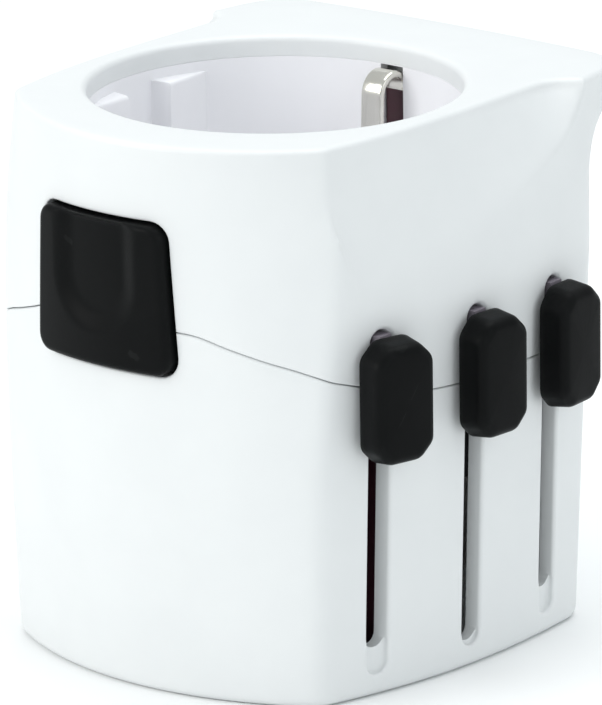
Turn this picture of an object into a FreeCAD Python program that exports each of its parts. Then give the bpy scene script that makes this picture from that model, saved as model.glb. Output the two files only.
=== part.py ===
"""Universal travel adapter: a Schuko socket on top of a housing with three plug sets on slides.

Frame: millimetres, +Z up out of the socket. The origin is on the base plane, under the socket axis.
-Y is the face with the release button, +X is the face with the three slider knobs.
"""
import math
import os

import FreeCAD
import Part

os.makedirs("parts", exist_ok=True)

V = FreeCAD.Vector
UP = V(0, 0, 1)

# ---- overall size --------------------------------------------------------------------------------
HEIGHT = 59.6                # base plane to the top face
HALF_WIDTH = 25.15           # base half width, at the widest point of the side
HALF_WIDTH_MID = 26.45       # the sides lean out to here
WAIST = 0.7                  # share of the height at which they are widest
HALF_WIDTH_TOP = 26.05
FRONT_REACH = 25.4           # socket axis to the front face, at the base
FRONT_LEAN = 1.9             # how far the front leans out at the top
REAR_REACH = 22.4            # socket axis to the rear face, at the base
REAR_LEAN = 1.3
WIDEST_Y = 6.5               # where along the side the plan is widest
SIDE_RADIUS = 75.0           # bow of the sides in front of that place
SIDE_RADIUS_REAR = 105.0     # and behind it
FRONT_RADIUS_BASE = 37.0
FRONT_RADIUS_TOP = 27.0
FRONT_CORNER = 4.0
REAR_CORNER = 4.5
BASE_EDGE = 1.1              # fillet round the foot of the lower housing
RIM_EDGE = 0.8               # fillet round the top edges

# ---- walls and running clearances ----------------------------------------------------------------
WALL = 1.9
SEAM = 0.12                  # open seam between the two housings
RUN_GAP = 0.3                # between pieces that move past each other
FIT_GAP = 0.05               # between pieces that are assembled and stay put
TONGUE = 0.9                 # thickness of the locating tongue inside the seam
TONGUE_RISE = 1.6

# ---- seam between the housings: high under the button, low along the sides -----------------------
SEAM_HIGH = 39.9
SEAM_LOW = 32.0
SEAM_FLAT_HALF = 9.2
SEAM_KNEE = (19.8, 35.7)
SEAM_SIDE_X = 23.6

# ---- rear lip under the top face -----------------------------------------------------------------
LIP_REACH = 30.9             # socket axis to the lip's outer face
LIP_DROP = 4.0               # height of the lip's vertical face
LIP_CORNER = 6.0
LIP_BOW = 1.9                # the lip's outer face is bowed by this much

# ---- scooped panels in both sides ----------------------------------------------------------------
SCOOP_STATION = (-18.0, -5.0, 8.0, 18.0)   # Y of the four stations, front to rear
SCOOP_TOP = (20.6, 22.2, 22.2, 21.8)       # half width of the panel's top edge at each station
SCOOP_FOOT_Z = (45.0, 46.9, 50.5, 55.6)    # height where the panel runs out into the side
SCOOP_RUN_ON = 4.0           # the cutting surface goes on past both ends by this much
SCOOP_FRONT_TOP = -19.6      # Y of the front step at the top face
SCOOP_FRONT_LOW = -16.0      # and at the panel's foot
SCOOP_REAR = 20.0            # Y of the rear wall

# ---- socket --------------------------------------------------------------------------------------
SOCKET_RADIUS = 19.75        # for a 39.5 mm round plug
SOCKET_DEPTH = 17.5
SOCKET_WALL = 1.2
SOCKET_FLOOR = 2.0
TOP_PLATE = 2.2
CONTACT_PITCH = 19.0
PIN_RADIUS = 2.4             # the pins that the socket takes
CONTACT_BORE = 2.45
FLOOR_HOLE = 2.8
KEY_CHORD = 17.2             # inner face of the four keys in the socket wall
KEY_NEAR = 3.2
KEY_FAR = 9.4
KEY_DROP = 3.4               # below the top face
CLIP_WIDTH = 2.5
CLIP_THICK = 0.8
CLIP_FRONT_TOP = 16.3        # socket axis to the clip's front leg, at its top
CLIP_FRONT_FOOT = 15.3
CLIP_ARCH_TOP = 56.7
CLIP_SLOT_WIDTH = 3.0
CLIP_SLOT_TOP = 57.3
CLIP_BACK = 21.1             # socket axis to the outside of the clip's back leg
CLIP_FOOT_Z = 36.0

# ---- sliders -------------------------------------------------------------------------------------
SLOT_PITCH = 13.0
SLOT_MIDDLE = 0.5            # Y of the middle slot
SLOT_WIDTH = 2.6
SLOT_TOP = 39.9
SLOT_END = 5.3               # foot of the through slots
SLOT_END_MIDDLE = 2.9
GROOVE_END = 2.5             # the slots run on to here as a blind groove
GROOVE_DEPTH = 0.7
TRAVEL = 22.5
KNOB_HEIGHT = 13.3
KNOB_WIDTH = 7.7
KNOB_PROUD = 3.4
KNOB_TOP = 39.4              # also the top of its neck
KNOB_CHAMFER = 1.8
KNOB_SHOULDER = 1.1
KNOB_SEAT = 0.3              # from a neck's end to the knob's back, so that a turned knob clears its neck
STEM_HEIGHT = 11.0
STEM_GAP = 0.35              # between a neck and each side of its slot

# ---- carriages -----------------------------------------------------------------------------------
CARRIAGE_LOW = 25.0          # underside at rest
CARRIAGE_THICK = 5.8
TAB_REACH = 18.4             # socket axis to the end of a carriage's tab
EURO_Y = -16.8
EURO_HALF_BAR = (-20.0, -13.4)
US_Y = 6.4
US_PLATE = (1.6, 10.9)
PARTITION_BEHIND = 3.6       # behind the two-pin plug's carriage bar
PARTITION_CLEAR = 3.4        # from the square plug's earth pin
PARTITION_THICK = 0.9
UK_Y = 14.5
UK_BAR = (11.3, 17.2)
UK_ARM = (-19.0, -15.0)
UK_EARTH_BAR = (-12.3, -3.3)
POST_RISE = 2.2              # catch post above the carriage
POST_SIZE = 1.6
LOCK_X = 15.6

# ---- plug pins -----------------------------------------------------------------------------------
EURO_PIN_RADIUS = 2.0
EURO_PIN_LENGTH = 19.0
EURO_PITCH = 9.5
EURO_CORE_RADIUS = 1.5
EURO_SLEEVE = 10.0
UK_PIN_WIDTH = 6.35
UK_PIN_THICK = 4.0
UK_PIN_LENGTH = 17.7
UK_PIN_PITCH = 22.2
UK_SLEEVE = 9.5
UK_SLEEVE_WALL = 0.5
UK_EARTH_WIDTH = 8.0
UK_EARTH_THICK = 4.0
UK_EARTH_LENGTH = 22.3
US_BLADE_WIDTH = 6.35
US_BLADE_THICK = 1.5
US_BLADE_LENGTH = 17.5
US_BLADE_PITCH = 12.7
BLADE_TWIST = 30.0
BLADE_HUB = 2.0
PIN_APERTURE_GAP = 0.35

# ---- base plate and fasteners --------------------------------------------------------------------
BASE_PLATE = 2.2
SCREW_SHANK = 0.85
SCREW_HEAD = 1.5
SCREW_HEAD_HEIGHT = 1.2
SCREW_LENGTH = 8.0
FRONT_SCREW = (15.3, -17.3)
REAR_SCREW = (5.5, 18.9)
FRONT_BOSS = 1.8
REAR_BOSS = 1.4
BOSS_TOP = 14.0
ROD_RADIUS = 1.0
ROD_GAP = 0.06
EURO_ROD = (-4.75, -16.8)
US_ROD = (12.2, 8.0)
UK_ROD = (4.5, 14.5)

# ---- release button ------------------------------------------------------------------------------
BUTTON_MIDDLE = -1.5         # X of the button's centre line
BUTTON_LOW = 35.3
BUTTON_HIGH = 51.2
BUTTON_HALF_TOP = 8.3
BUTTON_HALF_LOW = 9.2
BUTTON_CORNER = 1.8
BUTTON_PROUD = 1.2
BUTTON_THICK = 3.0
BUTTON_TRAVEL = 1.6
BUTTON_GAP = 0.25
BUTTON_EDGE = 0.5
THUMB_RADIUS = 4.6
THUMB_DEPTH = 1.0            # of the thumb hollow below the button's face
THUMB_LOW = 44.0             # Z of the hollow's round lower end
BUTTON_FOOT = 0.5            # the foot reaches this far behind the cap
BUTTON_FOOT_X = (2.4, 5.6)
BUTTON_FOOT_RISE = 0.8       # above the cap's lower edge
BUTTON_FOOT_HEIGHT = 2.4
LOCK_LOW = 31.6
LOCK_THICK = 1.2
LOCK_WIDTH = 4.0
LOCK_REAR = 15.2
LOCK_ARM_FRONT = 2.2         # the cross arm lies from here in front of the two-pin plug's pins
LOCK_ARM_REAR = 0.4          # to here behind them
LOCK_TAB = 0.8               # thickness of the tab that the button pushes
SPRING_RADIUS = 0.95
SPRING_WIRE = 0.25
SPRING_TURNS = 5

# ---- electrics -----------------------------------------------------------------------------------
SLEEVE_WALL = 0.9
SLEEVE_HEIGHT = 7.0
STRIP_THICK = 0.6
STRIP_WIDTH = 2.6
RAIL_FOOT = 6.0
FUSE_RADIUS = 3.15
FUSE_LENGTH = 20.0
FUSE_X = -16.9
FUSE_CAP = 5.0


# ---- plan outline of the body --------------------------------------------------------------------
def lerp(a, b, t):
    return a + (b - a) * t


def half_width(z):
    """Half width at height z: out from the base to the middle, and a little in again at the top."""
    t = z / HEIGHT
    if t < WAIST:
        return lerp(HALF_WIDTH, HALF_WIDTH_MID, t / WAIST)
    return lerp(HALF_WIDTH_MID, HALF_WIDTH_TOP, (t - WAIST) / (1 - WAIST))


def front_y(z):
    t = z / HEIGHT
    return -FRONT_REACH - FRONT_LEAN * (1 - (1 - t) ** 2)


def rear_y(z):
    return REAR_REACH + REAR_LEAN * z / HEIGHT


def front_radius(z):
    return lerp(FRONT_RADIUS_BASE, FRONT_RADIUS_TOP, (z / HEIGHT) ** 2)


def side_x(y, z):
    """X of the side face at a station and height."""
    radius = SIDE_RADIUS if y < WIDEST_Y else SIDE_RADIUS_REAR
    return half_width(z) - radius + math.sqrt(radius ** 2 - (y - WIDEST_Y) ** 2)


def side_turn(y):
    """Angle by which the side face at a station is turned towards the front, in degrees."""
    radius = SIDE_RADIUS if y < WIDEST_Y else SIDE_RADIUS_REAR
    return math.degrees(math.asin((WIDEST_Y - y) / radius))


def inner_corner(centre_a, reach_a, centre_b, reach_b):
    """The point that lies reach_a from one centre and reach_b from the other, at the front right."""
    span = centre_b - centre_a
    distance = span.Length
    along = (reach_a ** 2 - reach_b ** 2 + distance ** 2) / (2 * distance)
    aside = math.sqrt(reach_a ** 2 - along ** 2)
    unit = V(span).normalize()
    normal = V(-unit.y, unit.x, 0)
    candidates = [centre_a + unit * along + normal * aside, centre_a + unit * along - normal * aside]
    return max(candidates, key=lambda p: p.x - p.y)


def outline(z, inset=0.0, reach=None, corner=REAR_CORNER):
    """Closed plan outline at height z: bowed front, bowed sides, flat rear, four round corners."""
    rear = (rear_y(z) if reach is None else reach) - inset
    nose = front_y(z) + inset
    bow = front_radius(z) - inset
    side = SIDE_RADIUS - inset
    front_corner = max(FRONT_CORNER - inset, 0.8)
    rear_corner = max(corner - inset, 0.8)
    front_centre = V(0, nose + bow, z)
    rear_side = SIDE_RADIUS_REAR - inset
    widest = V(half_width(z) - inset, WIDEST_Y, z)
    side_centre = V(half_width(z) - SIDE_RADIUS, WIDEST_Y, z)
    rear_side_centre = V(half_width(z) - SIDE_RADIUS_REAR, WIDEST_Y, z)
    c1 = inner_corner(front_centre, bow - front_corner, side_centre, side - front_corner)
    front_end = front_centre + (c1 - front_centre).normalize() * bow
    side_start = side_centre + (c1 - side_centre).normalize() * side
    c1_mid = c1 + ((front_end - c1) + (side_start - c1)).normalize() * front_corner
    c2_y = rear - rear_corner
    c2_x = rear_side_centre.x + math.sqrt((rear_side - rear_corner) ** 2 - (c2_y - WIDEST_Y) ** 2)
    c2 = V(c2_x, c2_y, z)
    side_end = rear_side_centre + (c2 - rear_side_centre).normalize() * rear_side
    rear_end = V(c2.x, rear, z)
    c2_mid = c2 + ((side_end - c2) + (rear_end - c2)).normalize() * rear_corner
    side_mid = side_centre + ((side_start - side_centre) + (widest - side_centre)).normalize() * side
    rear_middle = ((widest - rear_side_centre) + (side_end - rear_side_centre)).normalize()
    rear_mid = rear_side_centre + rear_middle * rear_side

    def flip(p):
        return V(-p.x, p.y, p.z)

    edges = [
        Part.Arc(flip(front_end), V(0, nose, z), front_end).toShape(),
        Part.Arc(front_end, c1_mid, side_start).toShape(),
        Part.Arc(side_start, side_mid, widest).toShape(),
        Part.Arc(widest, rear_mid, side_end).toShape(),
        Part.Arc(side_end, c2_mid, rear_end).toShape(),
        Part.LineSegment(rear_end, flip(rear_end)).toShape(),
        Part.Arc(flip(rear_end), flip(c2_mid), flip(side_end)).toShape(),
        Part.Arc(flip(side_end), flip(rear_mid), flip(widest)).toShape(),
        Part.Arc(flip(widest), flip(side_mid), flip(side_start)).toShape(),
        Part.Arc(flip(side_start), flip(c1_mid), flip(front_end)).toShape(),
    ]
    return Part.Wire(edges)


def body(inset=0.0, low=0.0, high=HEIGHT):
    """The body's form without its lip, or the form a wall thickness inside it."""
    stations = 4
    heights = [lerp(low, high, i / (stations - 1)) for i in range(stations)]
    return Part.makeLoft([outline(z, inset) for z in heights], True, False)


# ---- small shape helpers -------------------------------------------------------------------------
def box(x, y, z):
    """Box from three (low, high) pairs."""
    return Part.makeBox(x[1] - x[0], y[1] - y[0], z[1] - z[0], V(x[0], y[0], z[0]))


def rod(radius, x, y, z):
    """Upright cylinder between two heights."""
    return Part.makeCylinder(radius, z[1] - z[0], V(x, y, z[0]), UP)


def prism(points, direction):
    """Closed polygon pushed along a vector."""
    return Part.Face(Part.makePolygon(points + [points[0]])).extrude(direction)


def mirrored(shape):
    return shape.mirror(V(0, 0, 0), V(1, 0, 0))


def fused(shapes):
    whole = shapes[0]
    if len(shapes) > 1:
        whole = whole.fuse(shapes[1:])
    return whole.removeSplitter()


def slot_y(index):
    """Y of slot 0, 1 or 2, front to rear."""
    return SLOT_MIDDLE + (index - 1) * SLOT_PITCH


EURO_SLOT, US_SLOT, UK_SLOT = (slot_y(i) for i in range(3))


# ---- seam ----------------------------------------------------------------------------------------
def seam_region(shift, top=True):
    """Everything above (or below) the seam, moved up by shift: the seam is drawn in XZ and pushed along Y."""
    far = 80.0
    flat = V(SEAM_FLAT_HALF, -far, SEAM_HIGH + shift)
    knee = V(SEAM_KNEE[0], -far, SEAM_KNEE[1] + shift)
    side = V(SEAM_SIDE_X, -far, SEAM_LOW + shift)
    end = V(far, -far, SEAM_LOW + shift)
    right = Part.BSplineCurve()
    right.interpolate(Points=[flat, knee, side], InitialTangent=V(4, 0, -1), FinalTangent=V(1, 0, -0.6))
    curve = right.toShape()
    closing_z = HEIGHT * 3 if top else -HEIGHT
    corner = V(far, -far, closing_z)

    def flip(p):
        return V(-p.x, p.y, p.z)

    edges = [
        Part.LineSegment(flip(flat), flat).toShape(),
        curve,
        Part.LineSegment(side, end).toShape(),
        Part.LineSegment(end, corner).toShape(),
        Part.LineSegment(corner, flip(corner)).toShape(),
        Part.LineSegment(flip(corner), flip(end)).toShape(),
        Part.LineSegment(flip(end), flip(side)).toShape(),
        mirrored(curve),
    ]
    wire = Part.Wire(Part.sortEdges(edges)[0])
    return Part.Face(wire).extrude(V(0, 2 * far, 0))


# ---- outer form of the housings ------------------------------------------------------------------
def lip_start():
    """Height at which the rear face starts to sweep out to the lip."""
    return HEIGHT - LIP_DROP - (LIP_REACH - rear_y(HEIGHT))


def swept_outline(angle):
    """Plan outline on the hollow sweep, a quarter circle in side view from the rear face to the lip."""
    low = lip_start()
    sweep = HEIGHT - LIP_DROP - low
    z = low + sweep * math.sin(angle)
    reach = LIP_REACH - sweep * math.cos(angle)
    share = 1 - math.cos(angle)
    return outline(z, 0.0, reach, lerp(REAR_CORNER, LIP_CORNER, share))


def full_form():
    """The closed outer form: straight body, hollow sweep at the rear, then the lip's vertical face."""
    low = lip_start()
    sweep = HEIGHT - LIP_DROP - low
    root = LIP_REACH - sweep
    stations = 4
    trunk = [outline(lerp(0, low, i / stations), 0.0) for i in range(stations)]
    trunk.append(outline(low, 0.0, root))
    steps = 8
    hollow = [swept_outline(math.radians(90) * i / steps) for i in range(steps + 1)]
    rim = [hollow[-1], outline(HEIGHT, 0.0, LIP_REACH, LIP_CORNER)]
    whole = Part.makeLoft(trunk, True, False)
    whole = whole.fuse([Part.makeLoft(hollow, True, True), Part.makeLoft(rim, True, True)])
    bow_radius = (LIP_REACH ** 2 + LIP_BOW ** 2) / (2 * LIP_BOW)
    bow = rod(bow_radius, 0, LIP_REACH - bow_radius, (-1, HEIGHT + 1))
    return whole.common(bow)


def scoop(sink=0.0):
    """Solid outside the +X panel. With sink it moves inward, to leave a wall behind the panel."""
    wires = []
    for y, top_x, foot_z in zip(SCOOP_STATION, SCOOP_TOP, SCOOP_FOOT_Z):
        foot_x = side_x(y, foot_z)
        slope = (foot_x - top_x) / (HEIGHT - foot_z)
        low = foot_z - SCOOP_RUN_ON
        high = HEIGHT + SCOOP_RUN_ON
        low_x = foot_x + slope * SCOOP_RUN_ON - sink
        high_x = top_x - slope * SCOOP_RUN_ON - sink
        far = HALF_WIDTH_MID + 20
        points = [V(low_x, y, low), V(high_x, y, high), V(far, y, high), V(far, y, low)]
        wires.append(Part.makePolygon(points + [points[0]]))
    lengthened = [wires[0].translated(V(0, -SCOOP_RUN_ON, 0))] + wires + [wires[-1].translated(V(0, SCOOP_RUN_ON, 0))]
    outside = Part.makeLoft(lengthened, True, True)
    rise = HEIGHT - SEAM_HIGH
    lean = (SCOOP_FRONT_TOP - SCOOP_FRONT_LOW) / (HEIGHT - SCOOP_FOOT_Z[0])
    high_z = HEIGHT + SCOOP_RUN_ON
    front_high = SCOOP_FRONT_TOP + lean * SCOOP_RUN_ON - sink
    front_low = SCOOP_FRONT_TOP - lean * rise - sink
    rear = SCOOP_REAR + sink
    gate = prism(
        [V(5, front_low, SEAM_HIGH), V(5, front_high, high_z), V(5, rear, high_z), V(5, rear, SEAM_HIGH)],
        V(80, 0, 0),
    )
    return outside.common(gate)


def outer_form():
    whole = full_form()
    panel = scoop()
    return whole.cut([panel, mirrored(panel)])


def inner_form(gap=0.0):
    """The walls' inner face, or the form a gap inside it."""
    return body(WALL + gap, -1.0, HEIGHT - TOP_PLATE)


def cavity():
    """Room inside both housings, kept a wall clear of the scooped panels."""
    room = inner_form()
    panel = scoop(WALL)
    return room.cut([panel, mirrored(panel)])


# ---- openings in the housings --------------------------------------------------------------------
def slot_cut(index):
    """Through slot for a knob's stem, with the blind groove that runs on below it."""
    y = slot_y(index)
    half = SLOT_WIDTH / 2
    end = SLOT_END_MIDDLE if index == 1 else SLOT_END
    inside = TAB_REACH
    outside = HALF_WIDTH_MID + 5
    length = outside - inside
    parts = [box((inside, outside), (y - half, y + half), (end + half, SLOT_TOP - half))]
    for z in (end + half, SLOT_TOP - half):
        parts.append(Part.makeCylinder(half, length, V(inside, y, z), V(1, 0, 0)))
    through = fused(parts)
    groove = box((inside, outside), (y - half, y + half), (GROOVE_END, SEAM_LOW))
    return through.fuse(groove.cut(body(GROOVE_DEPTH)))


def button_outline(grow=0.0):
    """The button's tapered outline with round corners, in XZ, standing in front of the body."""
    y = -FRONT_REACH - 20
    top = BUTTON_HALF_TOP + grow
    low = BUTTON_HALF_LOW + grow
    points = [
        V(BUTTON_MIDDLE - low, y, BUTTON_LOW - grow),
        V(BUTTON_MIDDLE + low, y, BUTTON_LOW - grow),
        V(BUTTON_MIDDLE + top, y, BUTTON_HIGH + grow),
        V(BUTTON_MIDDLE - top, y, BUTTON_HIGH + grow),
    ]
    block = prism(points, V(0, 30, 0))
    upright = [e for e in block.Edges if abs(e.Vertexes[0].Y - e.Vertexes[1].Y) > 20]
    return block.makeFillet(BUTTON_CORNER + grow, upright)


def boss(x, y, radius):
    """Screw boss joined to the wall behind it, drilled for its screw."""
    wall_y = -60 if y < 0 else 60
    low = BASE_PLATE + FIT_GAP
    web = box((x - 0.9, x + 0.9), (min(y, wall_y), max(y, wall_y)), (low, BOSS_TOP))
    post = rod(radius, x, y, (low, BOSS_TOP)).fuse(web).common(body(WALL / 2))
    return post.cut(rod(SCREW_SHANK + FIT_GAP, x, y, (low - 1, SCREW_LENGTH + 2)))


def screw_places():
    front = [(-FRONT_SCREW[0], FRONT_SCREW[1]), FRONT_SCREW]
    rear = [(-REAR_SCREW[0], REAR_SCREW[1]), REAR_SCREW]
    return front, rear


def tongue():
    """Locating tongue of the lower housing inside the upper one, notched for the rear earth clip."""
    ring = cavity().cut(inner_form(TONGUE))
    root = ring.common(seam_region(-SEAM / 2, False)).common(seam_region(-TONGUE_RISE * 2))
    loose = inner_form(FIT_GAP * 2).cut(inner_form(TONGUE))
    panel = scoop(WALL + FIT_GAP * 2)
    loose = loose.cut([panel, mirrored(panel)])
    rise = loose.common(seam_region(-SEAM)).common(seam_region(TONGUE_RISE, False))
    half = CLIP_SLOT_WIDTH / 2
    notch = box((-half, half), (0, LIP_REACH), (CLIP_FOOT_Z - 1, HEIGHT))
    return root.fuse(rise).cut([socket_seat(), notch])


def lower_housing(outer, room):
    shell = outer.common(seam_region(-SEAM / 2, False)).cut(room)
    foot = [e for e in shell.Edges if e.BoundBox.ZMax < 1e-3 and on_outline(e)]
    shell = shell.makeFillet(BASE_EDGE, foot)
    front, rear = screw_places()
    bosses = [boss(x, y, FRONT_BOSS) for x, y in front] + [boss(x, y, REAR_BOSS) for x, y in rear]
    shell = shell.fuse([tongue()] + bosses)
    return shell.cut([slot_cut(i) for i in range(3)] + [button_outline(BUTTON_GAP)])


def on_outline(edge):
    """True for an edge of the outer outline, not the cavity's."""
    p = edge.valueAt((edge.FirstParameter + edge.LastParameter) / 2)
    inner = Part.Face(outline(0, WALL / 2))
    return not inner.isInside(V(p.x, p.y, 0), 1e-4, True)


def socket_seat():
    """Room for the socket cup under the top plate."""
    low = socket_floor_low() - FIT_GAP * 2
    return rod(SOCKET_RADIUS + SOCKET_WALL + FIT_GAP * 2, 0, 0, (low, HEIGHT - TOP_PLATE))


def upper_housing(outer, room):
    shell = outer.common(seam_region(SEAM / 2)).cut(room)
    mouth = rod(SOCKET_RADIUS, 0, 0, (SEAM_LOW, HEIGHT + 1))
    rounded = rod(SOCKET_RADIUS + RIM_EDGE, 0, 0, (HEIGHT - RIM_EDGE, HEIGHT + 1))
    ring = Part.makeTorus(SOCKET_RADIUS + RIM_EDGE, RIM_EDGE, V(0, 0, HEIGHT - RIM_EDGE), UP)
    shell = shell.cut([socket_seat(), mouth, rounded.cut(ring)])
    return shell.cut([slot_cut(i) for i in range(3)] + [button_outline(BUTTON_GAP)])


# ---- base plate ----------------------------------------------------------------------------------
def slab(x, y, width, depth, z, grow=0.0):
    """Upright bar of rectangular section, centred at x, y."""
    half_x = width / 2 + grow
    half_y = depth / 2 + grow
    return box((x - half_x, x + half_x), (y - half_y, y + half_y), z)


def blade_aperture(sign):
    """Opening that lets a blade through at any angle of its twist."""
    through = (-1, BASE_PLATE + 1)
    x = sign * US_BLADE_PITCH / 2
    straight = slab(x, US_Y, US_BLADE_THICK, US_BLADE_WIDTH, through, PIN_APERTURE_GAP)
    steps = 4
    swept = []
    for i in range(steps + 1):
        angle = sign * BLADE_TWIST * i / steps
        swept.append(straight.rotated(V(x, US_Y, 0), UP, angle))
    return fused(swept)


def base_plate():
    plate = inner_form(FIT_GAP).common(box((-60, 60), (-60, 60), (0, BASE_PLATE)))
    through = (-1, BASE_PLATE + 1)
    cuts = [rod(EURO_PIN_RADIUS + PIN_APERTURE_GAP, i * EURO_PITCH, EURO_Y, through) for i in (-1, 0, 1)]
    for sign in (-1, 1):
        x = sign * UK_PIN_PITCH / 2
        cuts.append(slab(x, UK_Y, UK_PIN_WIDTH, UK_PIN_THICK, through, PIN_APERTURE_GAP))
        cuts.append(blade_aperture(sign))
    earth_y = UK_Y - UK_PIN_PITCH
    cuts.append(slab(0, earth_y, UK_EARTH_THICK, UK_EARTH_WIDTH, through, PIN_APERTURE_GAP))
    front, rear = screw_places()
    for x, y in front + rear:
        cuts.append(rod(SCREW_SHANK + FIT_GAP, x, y, through))
        cuts.append(rod(SCREW_HEAD + FIT_GAP * 2, x, y, (-1, SCREW_HEAD_HEIGHT + 0.1)))
    for x, y in (EURO_ROD, US_ROD, UK_ROD):
        cuts.append(rod(ROD_RADIUS + FIT_GAP, x, y, (BASE_PLATE / 2, BASE_PLATE + 1)))
    return plate.cut(cuts)


def base_screws():
    front, rear = screw_places()
    screws = []
    for x, y in front + rear:
        head = rod(SCREW_HEAD, x, y, (0.05, SCREW_HEAD_HEIGHT))
        shank = rod(SCREW_SHANK, x, y, (SCREW_HEAD_HEIGHT, SCREW_LENGTH))
        recess = slab(x, y, 2.0, 0.5, (0, 0.6)).fuse(slab(x, y, 0.5, 2.0, (0, 0.6)))
        screws.append(head.fuse(shank).cut(recess))
    return Part.makeCompound(screws)


def guide_rods():
    top = socket_floor_low() + 0.8
    return Part.makeCompound(
        [rod(ROD_RADIUS, x, y, (BASE_PLATE / 2 + FIT_GAP, top)) for x, y in (EURO_ROD, US_ROD, UK_ROD)]
    )


def insulating_partition():
    """Barrier between the front plug set and the two behind it, standing on the base plate."""
    y = EURO_HALF_BAR[1] + PARTITION_BEHIND
    x = (UK_EARTH_THICK / 2 + PARTITION_CLEAR, HEIGHT)
    wall = box(x, (y, y + PARTITION_THICK), (BASE_PLATE + FIT_GAP, CARRIAGE_LOW + CARRIAGE_THICK))
    return wall.common(inner_form(TONGUE + FIT_GAP))


# ---- socket --------------------------------------------------------------------------------------
def socket_floor_top():
    return HEIGHT - SOCKET_DEPTH


def socket_floor_low():
    return HEIGHT - SOCKET_DEPTH - SOCKET_FLOOR


def socket_insert():
    """Socket cup: floor with two pin holes, four keys, and a slot at front and rear for the earth clips."""
    low = socket_floor_low()
    floor = socket_floor_top()
    high = HEIGHT - TOP_PLATE
    cup = rod(SOCKET_RADIUS + SOCKET_WALL, 0, 0, (low, high)).cut(rod(SOCKET_RADIUS, 0, 0, (floor, high + 1)))
    keys = []
    for sx in (-1, 1):
        for sy in (-1, 1):
            x = (KEY_CHORD, SOCKET_RADIUS + SOCKET_WALL / 2)
            y = (KEY_NEAR, KEY_FAR)
            block = box(x, y, (floor - 0.5, HEIGHT - KEY_DROP))
            block = block.common(rod(SOCKET_RADIUS + SOCKET_WALL / 2, 0, 0, (0, HEIGHT)))
            if sy < 0:
                block = block.mirror(V(0, 0, 0), V(0, 1, 0))
            if sx < 0:
                block = mirrored(block)
            keys.append(block)
    cup = fused([cup] + keys)
    half = CLIP_SLOT_WIDTH / 2
    cuts = [rod(FLOOR_HOLE, s * CONTACT_PITCH / 2, 0, (low - 1, floor + 1)) for s in (-1, 1)]
    for sign in (-1, 1):
        near = sign * (CLIP_FRONT_FOOT - 0.5)
        far = sign * (CLIP_BACK + 1)
        cuts.append(box((-half, half), (min(near, far), max(near, far)), (low - 1, CLIP_SLOT_TOP)))
    for x, y in (EURO_ROD, US_ROD, UK_ROD):
        cuts.append(rod(ROD_RADIUS + FIT_GAP, x, y, (low - 1, low + 0.9)))
    return cup.cut(cuts)


def clip_outline(inset):
    """Side view of an earth clip, in YZ: up the back, over a round arch, down the sprung front leg."""
    back = CLIP_BACK - inset
    front = CLIP_FRONT_TOP + inset
    foot = CLIP_FRONT_FOOT + inset
    arch = (back - front) / 2
    spring_z = CLIP_ARCH_TOP - (CLIP_BACK - CLIP_FRONT_TOP) / 2
    x = -CLIP_WIDTH / 2
    points = [V(x, back, CLIP_FOOT_Z), V(x, back, spring_z), V(x, front, spring_z), V(x, foot, CLIP_FOOT_Z)]
    crown = V(x, (back + front) / 2, spring_z + arch)
    edges = [
        Part.LineSegment(points[0], points[1]).toShape(),
        Part.Arc(points[1], crown, points[2]).toShape(),
        Part.LineSegment(points[2], points[3]).toShape(),
        Part.LineSegment(points[3], points[0]).toShape(),
    ]
    return Part.Face(Part.Wire(edges)).extrude(V(CLIP_WIDTH, 0, 0))


def earth_clip(sign):
    clip = clip_outline(0.0).cut(clip_outline(CLIP_THICK))
    return clip if sign > 0 else clip.mirror(V(0, 0, 0), V(0, 1, 0))


def earth_bridge():
    """Strap under the socket that joins both earth clips."""
    return box((-2, 2), (-CLIP_BACK, CLIP_BACK), (CLIP_FOOT_Z - STRIP_THICK, CLIP_FOOT_Z))


def contact(sign):
    """Live contact: a slit sleeve for the plug's pin on a strip with a rail down behind each outer plug set."""
    x = sign * CONTACT_PITCH / 2
    top = socket_floor_low() - FIT_GAP
    low = top - SLEEVE_HEIGHT
    outer = CONTACT_BORE + SLEEVE_WALL
    strip_z = (top - 1.6, top - 1.6 + STRIP_THICK)
    front = EURO_HALF_BAR[0] - RUN_GAP
    rear = UK_BAR[1] + RUN_GAP
    half = STRIP_WIDTH / 2
    across = (x - half, x + half)
    sleeve = rod(outer, x, 0, (low, top))
    strip = box(across, (front - STRIP_THICK, rear + STRIP_THICK), strip_z)
    front_rail = box(across, (front - STRIP_THICK, front), (RAIL_FOOT, strip_z[1]))
    rear_rail = box(across, (rear, rear + STRIP_THICK), (RAIL_FOOT, strip_z[1]))
    whole = fused([sleeve, strip, front_rail, rear_rail])
    slit = box((min(x, x + sign * 5), max(x, x + sign * 5)), (-0.5, 0.5), (low - 1, strip_z[0] - 0.5))
    return whole.cut([rod(CONTACT_BORE, x, 0, (low - 1, top + 1)), slit])


# ---- fuse ----------------------------------------------------------------------------------------
def fuse_z():
    return socket_floor_low() - 1.25 - FUSE_RADIUS


def along_y(radius, y):
    return Part.makeCylinder(radius, y[1] - y[0], V(FUSE_X, y[0], fuse_z()), V(0, 1, 0))


def fuse_tube():
    half = FUSE_LENGTH / 2
    return along_y(FUSE_RADIUS - 0.3, (-half + 0.5, half - 0.5))


def fuse_caps():
    half = FUSE_LENGTH / 2
    caps = []
    for sign in (-1, 1):
        far = sign * half
        near = sign * (half - FUSE_CAP)
        inner = sign * (half - 0.45)
        cap = along_y(FUSE_RADIUS, (min(near, far), max(near, far)))
        caps.append(cap.cut(along_y(FUSE_RADIUS - 0.28, (min(near, inner), max(near, inner)))))
    return Part.makeCompound(caps)


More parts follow.
